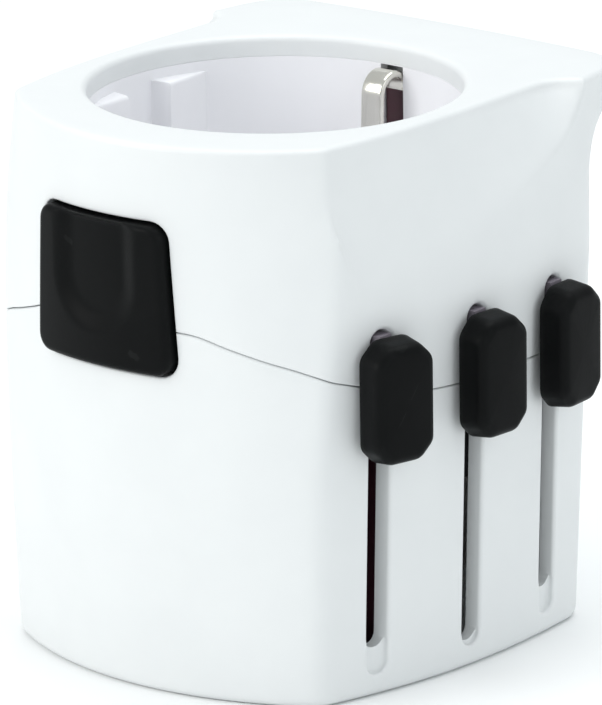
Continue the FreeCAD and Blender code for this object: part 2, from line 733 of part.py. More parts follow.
def fuse_clips():
    clips = []
    middle = FUSE_LENGTH / 2 - FUSE_CAP / 2
    for sign in (-1, 1):
        y = (sign * middle - 1.5, sign * middle + 1.5)
        inner = FUSE_RADIUS + FIT_GAP
        ring = along_y(inner + 0.5, y).cut(along_y(inner, y))
        mouth = box((FUSE_X - 2, FUSE_X + 2), y, (fuse_z() - 6, fuse_z()))
        hanger = box((FUSE_X - 1.2, FUSE_X + 1.2), y, (fuse_z() + inner + 0.2, socket_floor_low() - FIT_GAP))
        clips.append(ring.cut(mouth).fuse(hanger))
    return Part.makeCompound(clips)


# ---- release button and lock ---------------------------------------------------------------------
def button_face(depth):
    """Form of the body's front moved out by the button's proud height, less a thickness."""
    return body(depth - BUTTON_PROUD, 0, HEIGHT)


def release_button():
    """Curved cap in the front opening, with a thumb scoop open at the top and a foot that works the lock bar."""
    cap = button_outline().common(button_face(0)).cut(button_face(BUTTON_THICK))
    rim = [e for e in cap.Edges if on_button_face(e)]
    cap = cap.makeFillet(BUTTON_EDGE, rim)
    thumb_centre = V(BUTTON_MIDDLE, front_y(THUMB_LOW) - BUTTON_PROUD + THUMB_DEPTH - THUMB_RADIUS, THUMB_LOW)
    thumb = Part.makeCylinder(THUMB_RADIUS, HEIGHT, thumb_centre, UP)
    ball = Part.makeSphere(THUMB_RADIUS, thumb_centre)
    cap = cap.cut(thumb.fuse(ball))
    back_y = front_y(BUTTON_LOW) - BUTTON_PROUD + BUTTON_THICK
    y = (back_y - BUTTON_THICK / 2, back_y + BUTTON_FOOT)
    z = (BUTTON_LOW + BUTTON_FOOT_RISE, BUTTON_LOW + BUTTON_FOOT_RISE + BUTTON_FOOT_HEIGHT)
    return cap.fuse(box(BUTTON_FOOT_X, y, z))


def on_button_face(edge):
    """True for the edges round the button's outer face."""
    p = edge.valueAt((edge.FirstParameter + edge.LastParameter) / 2)
    return p.y < front_y(p.z) - BUTTON_PROUD + BUTTON_THICK * 0.5 + p.x ** 2 / (2 * front_radius(p.z)) - 0.6


def lock_bar():
    """Slide under the socket that the button pushes rearward: a window over each carriage's catch post."""
    z = (LOCK_LOW, LOCK_LOW + LOCK_THICK)
    half = LOCK_WIDTH / 2
    arm_y = (EURO_Y - LOCK_ARM_FRONT, EURO_Y + LOCK_ARM_REAR)
    bar = box((LOCK_X - half, LOCK_X + half), (arm_y[0], LOCK_REAR), z)
    arm = box((BUTTON_FOOT_X[0], LOCK_X + half), arm_y, z)
    push_y = front_y(BUTTON_LOW) - BUTTON_PROUD + BUTTON_THICK + BUTTON_FOOT + RUN_GAP
    strut = box(BUTTON_FOOT_X, (push_y, arm_y[1]), z)
    tab_top = BUTTON_LOW + BUTTON_FOOT_RISE + BUTTON_FOOT_HEIGHT - FIT_GAP * 4
    tab = box(BUTTON_FOOT_X, (push_y, push_y + LOCK_TAB), (LOCK_LOW, tab_top))
    bar = fused([bar, arm, strut, tab])
    reach = POST_SIZE / 2 + RUN_GAP
    windows = []
    for i in range(3):
        y = post_y(i)
        x = (LOCK_X - reach, LOCK_X + reach)
        windows.append(box(x, (y - reach - BUTTON_TRAVEL, y + reach), (LOCK_LOW - 1, LOCK_LOW + 3)))
    return bar.cut(windows)


def lock_spring():
    """Compression spring between the lock bar and the rear wall."""
    low = LOCK_REAR + 0.1
    high = rear_y(LOCK_LOW) - WALL - 0.1
    length = high - low - SPRING_WIRE * 2
    pitch = length / SPRING_TURNS
    mean = SPRING_RADIUS
    helix = Part.makeHelix(pitch, length, mean)
    start = V(mean, 0, 0)
    section = Part.Wire(Part.makeCircle(SPRING_WIRE, start, V(0, 1, 0)))
    coil = Part.Wire(helix.Edges).makePipeShell([section], True, True)
    coil = coil.rotated(V(0, 0, 0), V(1, 0, 0), -90)
    return coil.translated(V(LOCK_X, low + SPRING_WIRE, LOCK_LOW + LOCK_THICK / 2))


# ---- carriages -----------------------------------------------------------------------------------
def carriage_z():
    return (CARRIAGE_LOW, CARRIAGE_LOW + CARRIAGE_THICK)


def post_y(index):
    """The catch post stands over the slot, or as near to it as the carriage's bar allows."""
    return max(slot_y(index), UK_BAR[0] + POST_SIZE / 2) if index == 2 else slot_y(index)


def post(index):
    half = POST_SIZE / 2
    y = post_y(index)
    top = CARRIAGE_LOW + CARRIAGE_THICK + POST_RISE
    return box((LOCK_X - half, LOCK_X + half), (y - half, y + half), (CARRIAGE_LOW + 1, top))


def knob_back(index):
    """X of the flat behind a knob, over the middle of its slot: clear of the leaning side at the knob's top."""
    return side_x(slot_y(index), KNOB_TOP) + RUN_GAP


def stem_z():
    return (KNOB_TOP - STEM_HEIGHT, KNOB_TOP)


def stem(index):
    """Neck through the slot, from the carriage's tab to the knob's back."""
    y = slot_y(index)
    half = SLOT_WIDTH / 2 - STEM_GAP
    z = (KNOB_TOP - STEM_HEIGHT, CARRIAGE_LOW + CARRIAGE_THICK)
    return box((LOCK_X - 1, knob_back(index)), (y - half, y + half), z)


def stem_tail(index):
    """The rest of the neck, above the carriage and outside the lock bar."""
    y = slot_y(index)
    half = SLOT_WIDTH / 2 - STEM_GAP
    x = (LOCK_X + LOCK_WIDTH / 2 + RUN_GAP, knob_back(index))
    return box(x, (y - half, y + half), stem_z())


def rod_bore(place):
    return rod(ROD_RADIUS + ROD_GAP, place[0], place[1], (0, HEIGHT))


def socket_pin_room():
    """Room for the pins of a plug in the socket, whose tips reach down beside the carriages."""
    return [rod(PIN_RADIUS + 0.7, s * CONTACT_PITCH / 2, 0, (0, HEIGHT)) for s in (-1, 1)]


def euro_carriage():
    z = carriage_z()
    y = EURO_HALF_BAR
    bar = box((-EURO_PITCH - 3.3, EURO_PITCH + 3.6), y, z)
    tab = box((EURO_PITCH + 1.5, TAB_REACH), (y[1] - 2.0, EURO_SLOT + 1.6), z)
    whole = fused([bar, tab, post(0), stem(0), stem_tail(0)])
    bores = [rod(EURO_CORE_RADIUS + FIT_GAP, i * EURO_PITCH, EURO_Y, (0, HEIGHT)) for i in (-1, 0, 1)]
    return whole.cut(bores + [rod_bore(EURO_ROD)])


def us_carriage():
    z = carriage_z()
    plate = box((-US_BLADE_PITCH / 2 - 2.8, TAB_REACH), US_PLATE, z)
    tab = box((LOCK_X - 2.2, TAB_REACH), (-1.6, US_PLATE[1]), z)
    whole = fused([plate, tab, post(1), stem(1), stem_tail(1)])
    hubs = [rod(BLADE_HUB + ROD_GAP, s * US_BLADE_PITCH / 2, US_Y, (0, HEIGHT)) for s in (-1, 1)]
    return whole.cut(hubs + [rod_bore(US_ROD)] + socket_pin_room())


def uk_carriage():
    """C-shaped: a bar with the two live pins, an arm down the -X side, and a bar to the earth pin."""
    z = carriage_z()
    bar = box((UK_ARM[0], TAB_REACH), UK_BAR, z)
    arm = box(UK_ARM, (UK_EARTH_BAR[0], UK_BAR[1]), z)
    earth_bar = box((UK_ARM[0], UK_EARTH_THICK / 2 + 2.3), UK_EARTH_BAR, z)
    whole = fused([bar, arm, earth_bar, post(2), stem(2), stem_tail(2)])
    cuts = [rod_bore(UK_ROD)] + socket_pin_room()
    core_width = UK_PIN_WIDTH - 2 * UK_SLEEVE_WALL
    core_thick = UK_PIN_THICK - 2 * UK_SLEEVE_WALL
    for sign in (-1, 1):
        cuts.append(slab(sign * UK_PIN_PITCH / 2, UK_Y, core_width, core_thick, (0, HEIGHT), FIT_GAP))
    cuts.append(slab(0, UK_Y - UK_PIN_PITCH, UK_EARTH_THICK - 1, UK_EARTH_WIDTH - 1.4, (0, HEIGHT), FIT_GAP))
    return whole.cut(cuts)


# ---- pins ----------------------------------------------------------------------------------------
def pin_tip(length):
    """Height of a pin's tip at rest, so that it stands out by its length at the end of the travel."""
    return TRAVEL - length


def euro_pins():
    tip = pin_tip(EURO_PIN_LENGTH)
    neck = CARRIAGE_LOW - EURO_SLEEVE
    pins = []
    for i in (-1, 0, 1):
        x = i * EURO_PITCH
        metal = rod(EURO_PIN_RADIUS, x, EURO_Y, (tip, neck))
        metal = metal.makeFillet(EURO_PIN_RADIUS * 0.8, [e for e in metal.Edges if e.BoundBox.ZMax < tip + 0.01])
        core = rod(EURO_CORE_RADIUS, x, EURO_Y, (neck, CARRIAGE_LOW + CARRIAGE_THICK))
        pins.append(metal.fuse(core))
    return Part.makeCompound(pins)


def euro_pin_sleeves():
    z = (CARRIAGE_LOW - EURO_SLEEVE, CARRIAGE_LOW)
    sleeves = []
    for i in (-1, 0, 1):
        x = i * EURO_PITCH
        bore = rod(EURO_CORE_RADIUS + FIT_GAP, x, EURO_Y, (0, HEIGHT))
        sleeves.append(rod(EURO_PIN_RADIUS, x, EURO_Y, z).cut(bore))
    return Part.makeCompound(sleeves)


def tipped(bar, tip, size):
    """Chamfer round the foot of an upright bar."""
    return bar.makeChamfer(size, [e for e in bar.Edges if e.BoundBox.ZMax < tip + 0.01])


def uk_live_pins():
    tip = pin_tip(UK_PIN_LENGTH)
    neck = CARRIAGE_LOW - UK_SLEEVE
    top = CARRIAGE_LOW + CARRIAGE_THICK
    pins = []
    for sign in (-1, 1):
        x = sign * UK_PIN_PITCH / 2
        metal = tipped(slab(x, UK_Y, UK_PIN_WIDTH, UK_PIN_THICK, (tip, neck)), tip, 0.9)
        core = slab(x, UK_Y, UK_PIN_WIDTH, UK_PIN_THICK, (neck, top), -UK_SLEEVE_WALL)
        pins.append(metal.fuse(core))
    return Part.makeCompound(pins)


def uk_pin_sleeves():
    z = (CARRIAGE_LOW - UK_SLEEVE, CARRIAGE_LOW)
    sleeves = []
    for sign in (-1, 1):
        x = sign * UK_PIN_PITCH / 2
        bore = slab(x, UK_Y, UK_PIN_WIDTH, UK_PIN_THICK, (0, HEIGHT), FIT_GAP - UK_SLEEVE_WALL)
        sleeves.append(slab(x, UK_Y, UK_PIN_WIDTH, UK_PIN_THICK, z).cut(bore))
    return Part.makeCompound(sleeves)


def uk_earth_pin():
    tip = pin_tip(UK_EARTH_LENGTH)
    y = UK_Y - UK_PIN_PITCH
    metal = tipped(slab(0, y, UK_EARTH_THICK, UK_EARTH_WIDTH, (tip, CARRIAGE_LOW - FIT_GAP)), tip, 0.9)
    root = slab(0, y, UK_EARTH_THICK - 1, UK_EARTH_WIDTH - 1.4, (CARRIAGE_LOW - 1, CARRIAGE_LOW + CARRIAGE_THICK))
    return metal.fuse(root)


def us_blade(sign):
    """Flat blade on a round hub that turns in the carriage."""
    x = sign * US_BLADE_PITCH / 2
    tip = pin_tip(US_BLADE_LENGTH)
    blade = tipped(slab(x, US_Y, US_BLADE_THICK, US_BLADE_WIDTH, (tip, CARRIAGE_LOW - RUN_GAP)), tip, 0.4)
    hub = rod(BLADE_HUB, x, US_Y, (CARRIAGE_LOW - RUN_GAP, CARRIAGE_LOW + CARRIAGE_THICK))
    return blade.fuse(hub)


# ---- knobs ---------------------------------------------------------------------------------------
def knob(index):
    """Slider knob: an upright block with cut corners and a round shoulder, square to the bowed side."""
    y = slot_y(index)
    back = knob_back(index) + KNOB_SEAT
    half = KNOB_WIDTH / 2
    low = KNOB_TOP - KNOB_HEIGHT
    block = box((back, back + KNOB_PROUD), (y - half, y + half), (low, KNOB_TOP))
    block = block.makeChamfer(KNOB_CHAMFER, [e for e in block.Edges if e.BoundBox.XLength > KNOB_PROUD * 0.9])
    front = [e for e in block.Edges if e.BoundBox.XMin > back + KNOB_PROUD * 0.9]
    block = block.makeFillet(KNOB_SHOULDER, front)
    return block.rotated(V(back, y, 0), UP, -side_turn(y))


def save(name, shape):
    shape.exportStep("parts/" + name + ".step")


outer = outer_form()
room = cavity()
save("upper_housing", upper_housing(outer, room))
save("lower_housing", lower_housing(outer, room))
save("base_plate", base_plate())
save("base_screws", base_screws())
save("guide_rods", guide_rods())
save("insulating_partition", insulating_partition())
save("socket_insert", socket_insert())
save("earth_clip_front", earth_clip(-1))
save("earth_clip_rear", earth_clip(1))
save("earth_bridge", earth_bridge())
save("line_contact", contact(1))
save("neutral_contact", contact(-1))
save("fuse_tube", fuse_tube())
save("fuse_caps", fuse_caps())
save("fuse_clips", fuse_clips())
save("release_button", release_button())
save("lock_bar", lock_bar())
save("lock_spring", lock_spring())
save("euro_carriage", euro_carriage())
save("euro_pins", euro_pins())
save("euro_pin_sleeves", euro_pin_sleeves())
save("euro_knob", knob(0))
save("us_carriage", us_carriage())
save("us_blade_left", us_blade(-1))
save("us_blade_right", us_blade(1))
save("us_knob", knob(1))
save("uk_carriage", uk_carriage())
save("uk_live_pins", uk_live_pins())
save("uk_pin_sleeves", uk_pin_sleeves())
save("uk_earth_pin", uk_earth_pin())
save("uk_knob", knob(2))
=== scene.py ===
import math

import bmesh
import bpy
import numpy as np
from mathutils import Matrix, Vector


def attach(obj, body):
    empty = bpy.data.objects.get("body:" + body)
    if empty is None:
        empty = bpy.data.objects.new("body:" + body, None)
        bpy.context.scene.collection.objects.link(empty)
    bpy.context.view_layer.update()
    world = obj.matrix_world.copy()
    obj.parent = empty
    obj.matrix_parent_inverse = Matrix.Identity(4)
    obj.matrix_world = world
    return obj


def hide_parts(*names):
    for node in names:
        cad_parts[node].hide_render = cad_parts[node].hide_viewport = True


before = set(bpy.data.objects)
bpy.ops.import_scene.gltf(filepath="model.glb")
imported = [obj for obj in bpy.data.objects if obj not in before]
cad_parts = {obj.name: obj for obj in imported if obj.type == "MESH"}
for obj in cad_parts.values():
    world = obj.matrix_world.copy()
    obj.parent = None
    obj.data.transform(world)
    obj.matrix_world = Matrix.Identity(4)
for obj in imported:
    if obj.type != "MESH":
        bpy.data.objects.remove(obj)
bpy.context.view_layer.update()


# ==== Lower housing ============================================================================
# The tray that carries the plug mechanism: white ABS, injection moulded with a fine matt texture.
# Its bowed walls are 1.9 mm thick, and a tongue inside its top edge locates the upper housing.
# Sizes are in millimetres, in the frame of the CAD model.
MM = 0.001
HEIGHT = 59.6
WALL = 1.9
HALF_WIDTH_BASE, HALF_WIDTH_MID, HALF_WIDTH_TOP = 25.15, 26.4, 26.05
WAIST = 0.7                       # share of the height where the sides lean out furthest
FRONT_REACH, FRONT_LEAN = 25.4, 1.9
REAR_REACH = 22.4
WIDEST_Y, SIDE_RADIUS, SIDE_RADIUS_REAR = 6.5, 75.0, 105.0   # bow of the sides before and behind
FRONT_RADIUS_BASE, FRONT_RADIUS_TOP = 37.0, 27.0
FRONT_CORNER, REAR_CORNER = 4.0, 4.5
FOOT_EDGE = 1.1
SEAM_OPEN = 0.06                  # half of the open seam between the housings
SEAM_EDGE = 0.2
SEAM_PATH = ((0.0, 39.9), (9.2, 39.9), (13.4, 38.6), (16.6, 37.5), (19.8, 36.4), (21.8, 35.4),
             (23.2, 34.1), (24.4, 32.8), (25.2, 32.1), (27.2, 31.9))
TONGUE_OUT, TONGUE_IN, TONGUE_RISE = 2.0, 2.8, 1.6
SLOT_Y = (-12.5, 0.5, 13.5)
SLOT_FOOT = (5.3, 2.9, 5.3)
SLOT_TOP, SLOT_HALF, SLOT_EDGE = 39.9, 1.3, 0.45
SLOT_CUT_FROM, CUT_TO = 18.4, 32.0
GROOVE_FOOT, GROOVE_DEPTH, GROOVE_EDGE, GROOVE_OVERLAP = 2.5, 0.7, 0.3, 3.0
BUTTON_MIDDLE = -1.5
BUTTON_CORNERS = ((-10.7, 35.3), (7.7, 35.3), (6.8, 51.2), (-9.8, 51.2))
BUTTON_CORNER, BUTTON_GAP, BUTTON_CUT_FROM, BUTTON_RIM = 1.8, 0.3, 20.0, 0.25
FRONT_COLUMNS, CORNER_COLUMNS, FLANK_COLUMNS = 30, 28, 46
TAIL_COLUMNS, TURN_COLUMNS, BACK_COLUMNS = 20, 12, 30
CORNER_START_X, FLANK_START_Y, TAIL_START_Y = 17.0, -12.0, 14.0


def lerp(a, b, t):
    return a + (b - a) * t


def half_width(z):
    t = z / HEIGHT
    rising = lerp(HALF_WIDTH_BASE, HALF_WIDTH_MID, t / WAIST)
    falling = lerp(HALF_WIDTH_MID, HALF_WIDTH_TOP, (t - WAIST) / (1 - WAIST))
    return np.where(t < WAIST, rising, falling)


def nose_y(z):
    return -FRONT_REACH - FRONT_LEAN * (1 - (1 - z / HEIGHT) ** 2)


def bow_radius(z):
    return lerp(FRONT_RADIUS_BASE, FRONT_RADIUS_TOP, (z / HEIGHT) ** 2)


def front_surface(x, z):
    """Y of the bowed front face."""
    return nose_y(z) + bow_radius(z) - np.sqrt(bow_radius(z) ** 2 - x * x)


def side_surface(y, z):
    """X of the bowed +X face."""
    radius = np.where(y < WIDEST_Y, SIDE_RADIUS, SIDE_RADIUS_REAR)
    return half_width(z) - radius + np.sqrt(radius ** 2 - (y - WIDEST_Y) ** 2)


def half_plan(z, reach, rear_corner=REAR_CORNER, inset=0.0, lip_bow=0.0):
    """Half of the plan, from the middle of the front round +X to the rear, at one height per point."""
    counts = (FRONT_COLUMNS, CORNER_COLUMNS, FLANK_COLUMNS, TAIL_COLUMNS, TURN_COLUMNS, BACK_COLUMNS)
    stretch = np.concatenate([np.full(n, i) for i, n in enumerate(counts)] + [[5]])
    share = np.concatenate([np.arange(n) / n for n in counts] + [[1.0]])
    z = np.broadcast_to(np.asarray(z, float), share.shape)
    reach = np.broadcast_to(np.asarray(reach, float), share.shape)
    bow = bow_radius(z) - inset
    side, tail = SIDE_RADIUS - inset, SIDE_RADIUS_REAR - inset
    turn = max(FRONT_CORNER - inset, 0.8)
    rear_turn = max(rear_corner - inset, 0.8)
    bow_y = nose_y(z) + bow_radius(z)
    side_x = half_width(z) - SIDE_RADIUS
    tail_x = half_width(z) - SIDE_RADIUS_REAR
    span = np.stack([side_x, WIDEST_Y - bow_y])
    apart = np.hypot(*span)
    to_bow, to_side = bow - turn, side - turn
    along = (to_bow ** 2 - to_side ** 2 + apart ** 2) / (2 * apart)
    aside = np.sqrt(to_bow ** 2 - along ** 2)
    unit = span / apart
    turn_x = unit[0] * along - unit[1] * aside
    turn_y = bow_y + unit[1] * along + unit[0] * aside
    front_end = bow_y + (turn_y - bow_y) * bow / to_bow
    side_start = WIDEST_Y + (turn_y - WIDEST_Y) * side / to_side
    rear = reach - inset
    centre_y = rear - rear_turn
    centre_x = tail_x + np.sqrt((tail - rear_turn) ** 2 - (centre_y - WIDEST_Y) ** 2)
    centre_y = centre_y - lip_bow * centre_x ** 2
    side_end = WIDEST_Y + (centre_y - WIDEST_Y) * tail / (tail - rear_turn)

    def x_at(y):
        on_bow = np.sqrt(np.maximum(bow ** 2 - (y - bow_y) ** 2, 0))
        on_turn = turn_x + np.sqrt(np.maximum(turn ** 2 - (y - turn_y) ** 2, 0))
        on_side = side_x + np.sqrt(side ** 2 - (y - WIDEST_Y) ** 2)
        on_side = np.where(y > WIDEST_Y, tail_x + np.sqrt(tail ** 2 - (y - WIDEST_Y) ** 2), on_side)
        return np.where(y < front_end, on_bow, np.where(y < side_start, on_turn, on_side))

    front_x = CORNER_START_X * share
    first_y = bow_y - np.sqrt(bow ** 2 - CORNER_START_X ** 2)
    corner_y = lerp(first_y, FLANK_START_Y, share)
    flank_y = lerp(FLANK_START_Y, TAIL_START_Y, share)
    tail_y = lerp(TAIL_START_Y, side_end, share)
    first_angle = np.arctan2(side_end - centre_y, x_at(side_end) - centre_x)
    angle = lerp(first_angle, math.pi / 2, share)
    back_x = centre_x * (1 - share)
    xs = [front_x, x_at(corner_y), x_at(flank_y), x_at(tail_y), centre_x + rear_turn * np.cos(angle), back_x]
    ys = [bow_y - np.sqrt(bow ** 2 - front_x ** 2), corner_y, flank_y, tail_y,
          centre_y + rear_turn * np.sin(angle), rear - lip_bow * back_x ** 2]
    return np.choose(stretch, xs), np.choose(stretch, ys)


def whole_ring(x, y, z):
    """Adds the mirrored half to a half plan and gives the closed ring."""
    z = np.broadcast_to(np.asarray(z, float), x.shape)
    right = np.stack([x, y, z], 1)
    left = right[-2:0:-1] * (-1, 1, 1)
    return np.concatenate([right, left])


def rear_reach(z):
    return REAR_REACH + 1.3 * z / 48.4


def seam_height():
    """Height of the seam at each point of a half plan, from a smooth curve through the seam's path."""
    x, _ = half_plan(36.0, rear_reach(36.0))
    px, pz = np.array(SEAM_PATH).T
    slope = np.gradient(pz, px)
    slope[0] = 0.0
    slope[1] = -0.1
    i = np.clip(np.searchsorted(px, x) - 1, 0, len(px) - 2)
    width = px[i + 1] - px[i]
    t = (x - px[i]) / width
    return (pz[i] * (1 + 2 * t) * (1 - t) ** 2 + pz[i + 1] * t * t * (3 - 2 * t)
            + width * (slope[i] * t * (1 - t) ** 2 - slope[i + 1] * t * t * (1 - t)))


def wind(name, rings, ends):
    """Draws a circle, extrudes its edge once for each ring and lays each new edge in place."""
    bpy.ops.object.select_all(action="DESELECT")
    bpy.ops.mesh.primitive_circle_add(vertices=len(rings[0]), radius=MM)
    piece = bpy.context.active_object
    piece.name = piece.data.name = name
    bpy.ops.object.mode_set(mode="EDIT")
    bpy.ops.mesh.select_mode(type="EDGE")
    bpy.ops.mesh.select_all(action="SELECT")
    mesh = bmesh.from_edit_mesh(piece.data)
    mesh.verts.ensure_lookup_table()
    edge = list(range(len(mesh.verts)))
    for v, place in zip(mesh.verts, rings[0]):
        v.co = place * MM
    for ring in rings[1:]:
        bpy.ops.mesh.extrude_edges_move()
        mesh = bmesh.from_edit_mesh(piece.data)
        mesh.verts.ensure_lookup_table()
        mesh.verts.index_update()
        fresh = [next(e.other_vert(mesh.verts[i]) for e in mesh.verts[i].link_edges
                      if e.other_vert(mesh.verts[i]).select) for i in edge]
        for v, place in zip(fresh, ring):
            v.co = place * MM
        edge = [v.index for v in fresh]
    bpy.ops.mesh.select_mode(type="VERT")
    bpy.ops.mesh.select_all(action="SELECT")
    bpy.ops.mesh.remove_doubles(threshold=1e-6)
    if ends == "capped":
        bpy.ops.mesh.select_all(action="DESELECT")
        bpy.ops.mesh.select_non_manifold()
        bpy.ops.mesh.edge_face_add()
    bpy.ops.mesh.select_all(action="SELECT")
    bpy.ops.mesh.normals_make_consistent(inside=False)
    bpy.ops.object.mode_set(mode="OBJECT")
    return piece


def apply_cut(piece, cutter):
    """Takes the cutter's form out of the piece."""
    tool = piece.modifiers.new("opening", "BOOLEAN")
    tool.operation = "DIFFERENCE"
    tool.solver = "EXACT"
    tool.object = cutter
    bpy.context.view_layer.objects.active = piece
    bpy.ops.object.modifier_apply(modifier=tool.name)
    bpy.data.objects.remove(cutter)


def smooth(piece, degrees=32):
    bpy.ops.object.select_all(action="DESELECT")
    piece.select_set(True)
    bpy.context.view_layer.objects.active = piece
    bpy.ops.object.shade_smooth_by_angle(angle=math.radians(degrees))


def rounded(corners, radius, grow=0.0, step=0.6, arc_steps=6):
    """Points round a convex polygon, counterclockwise, with its corners rounded, then grown outwards."""
    corners = [Vector(c) for c in corners]
    points = []
    turns = []
    for i, here in enumerate(corners):
        back = (corners[i - 1] - here).normalized()
        on = (corners[(i + 1) % len(corners)] - here).normalized()
        half = back.angle(on) / 2
        centre = here + (back + on).normalized() * (radius / math.sin(half))
        out_first = Vector((back.y, -back.x)) * -1
        out_last = Vector((on.y, -on.x))
        first = math.atan2(out_first.y, out_first.x)
        sweep = (math.atan2(out_last.y, out_last.x) - first) % math.tau
        turns.append((centre, first, sweep))
    for i, (centre, first, sweep) in enumerate(turns):
        for k in range(arc_steps + 1):
            a = first + sweep * k / arc_steps
            points.append(centre + Vector((math.cos(a), math.sin(a))) * (radius + grow))
        following, next_first, _ = turns[(i + 1) % len(turns)]
        goal = following + Vector((math.cos(next_first), math.sin(next_first))) * (radius + grow)
        start = points[-1].copy()
        plain = max(1, round((corners[(i + 1) % len(corners)] - corners[i]).length / step))
        points += [start.lerp(goal, k / plain) for k in range(1, plain)]
    return np.array([tuple(p) for p in points])


def flare_rings(outline, surface, place, inner, outer, edge):
    """Rings of a cutter for an opening whose edge is rounded where it meets the face."""
    rings = [place(outline(0.0), inner)]
    angles = [math.radians(a) for a in (0, 18, 36, 54, 70)]
    for a in angles:
        points = outline(edge * (1 - math.cos(a)))
        rings.append(place(points, surface(points) - edge * (1 - math.sin(a))))
    points = outline(edge * (1 - math.cos(angles[-1])) + 0.4)
    rings.append(place(points, surface(points) + 0.1))
    rings.append(place(points, outer))
    return rings


def slot_cutter(i):
    """Long slot for a slider's neck, cut from outside the +X face."""
    low, high, y = SLOT_FOOT[i], SLOT_TOP, SLOT_Y[i]
    box = [(y - SLOT_HALF, low), (y + SLOT_HALF, low), (y + SLOT_HALF, high), (y - SLOT_HALF, high)]
    rings = flare_rings(
        lambda grow: rounded(box, SLOT_HALF - 0.02, grow, 0.9),
        lambda p: side_surface(p[:, 0], p[:, 1]),
        lambda p, x: np.stack([np.broadcast_to(x, len(p)), p[:, 0], p[:, 1]], 1),
        SLOT_CUT_FROM, CUT_TO, SLOT_EDGE)
    return wind("slot_cutter", rings, "capped")


def groove_cutter(i):
    """Shallow groove that runs on below the slot."""
    low, high, y = GROOVE_FOOT, SLOT_FOOT[i] + GROOVE_OVERLAP, SLOT_Y[i]
    half = SLOT_HALF
    box = [(y - half, low), (y + half, low), (y + half, high), (y - half, high)]

    def outline(grow):
        return rounded(box, half - 0.02, grow, 0.9)

    def place(p, x):
        return np.stack([np.broadcast_to(x, len(p)), p[:, 0], p[:, 1]], 1)

    rings = []
    for a in (90, 60, 30, 0):
        a = math.radians(a)
        points = outline(-GROOVE_EDGE * (1 - math.cos(a)))
        floor_x = side_surface(points[:, 0], points[:, 1]) - GROOVE_DEPTH
        rings.append(place(points, floor_x + GROOVE_EDGE * (1 - math.sin(a))))
    flare = flare_rings(outline, lambda p: side_surface(p[:, 0], p[:, 1]), place, 0.0, CUT_TO, GROOVE_EDGE)
    return wind("groove_cutter", rings + flare[1:], "capped")


def button_cutter():
    """Opening for the release button, cut from outside the bowed front."""
    rings = flare_rings(
        lambda grow: rounded(BUTTON_CORNERS, BUTTON_CORNER, grow + BUTTON_GAP, 0.7),
        lambda p: -front_surface(p[:, 0], p[:, 1]),
        lambda p, y: np.stack([p[:, 0], -np.broadcast_to(y, len(p)), p[:, 1]], 1),
        BUTTON_CUT_FROM, CUT_TO, BUTTON_RIM)
    return wind("button_cutter", rings, "capped")


def quarter(steps):
    return [math.pi / 2 * k / steps for k in range(steps + 1)]


def lower_rings():
    seam = seam_height() - SEAM_OPEN
    rings = []

    def add(inset, z):
        rings.append(whole_ring(*half_plan(z, rear_reach(z), REAR_CORNER, inset), z))

    add(WALL, np.zeros_like(seam))
    for a in quarter(6):
        add(FOOT_EDGE * (1 - math.sin(a)), np.full_like(seam, FOOT_EDGE * (1 - math.cos(a))))
    for k in range(1, 27):
        add(0.0, lerp(FOOT_EDGE, seam - SEAM_EDGE, k / 26))
    for a in quarter(3)[1:]:
        add(SEAM_EDGE * (1 - math.cos(a)), seam - SEAM_EDGE * (1 - math.sin(a)))
    add(TONGUE_OUT, seam)
    tongue_top = np.minimum(seam + TONGUE_RISE, 40.0)
    add(TONGUE_OUT, tongue_top)
    add(TONGUE_IN, tongue_top)
    add(TONGUE_IN, seam - TONGUE_RISE * 2)
    add(WALL, seam - TONGUE_RISE * 2 - 1)
    for k in range(1, 7):
        add(WALL, lerp(seam - TONGUE_RISE * 2 - 1, 0.0, k / 6))
    return rings


def new_group(name, inputs, outputs):
    group = bpy.data.node_groups.new(name, "ShaderNodeTree")
    for label, value in inputs:
        group.interface.new_socket(label, in_out="INPUT", socket_type="NodeSocketFloat").default_value = value
    for label in outputs:
        group.interface.new_socket(label, in_out="OUTPUT", socket_type="NodeSocketFloat")
    return group, group.nodes.new("NodeGroupInput"), group.nodes.new("NodeGroupOutput")


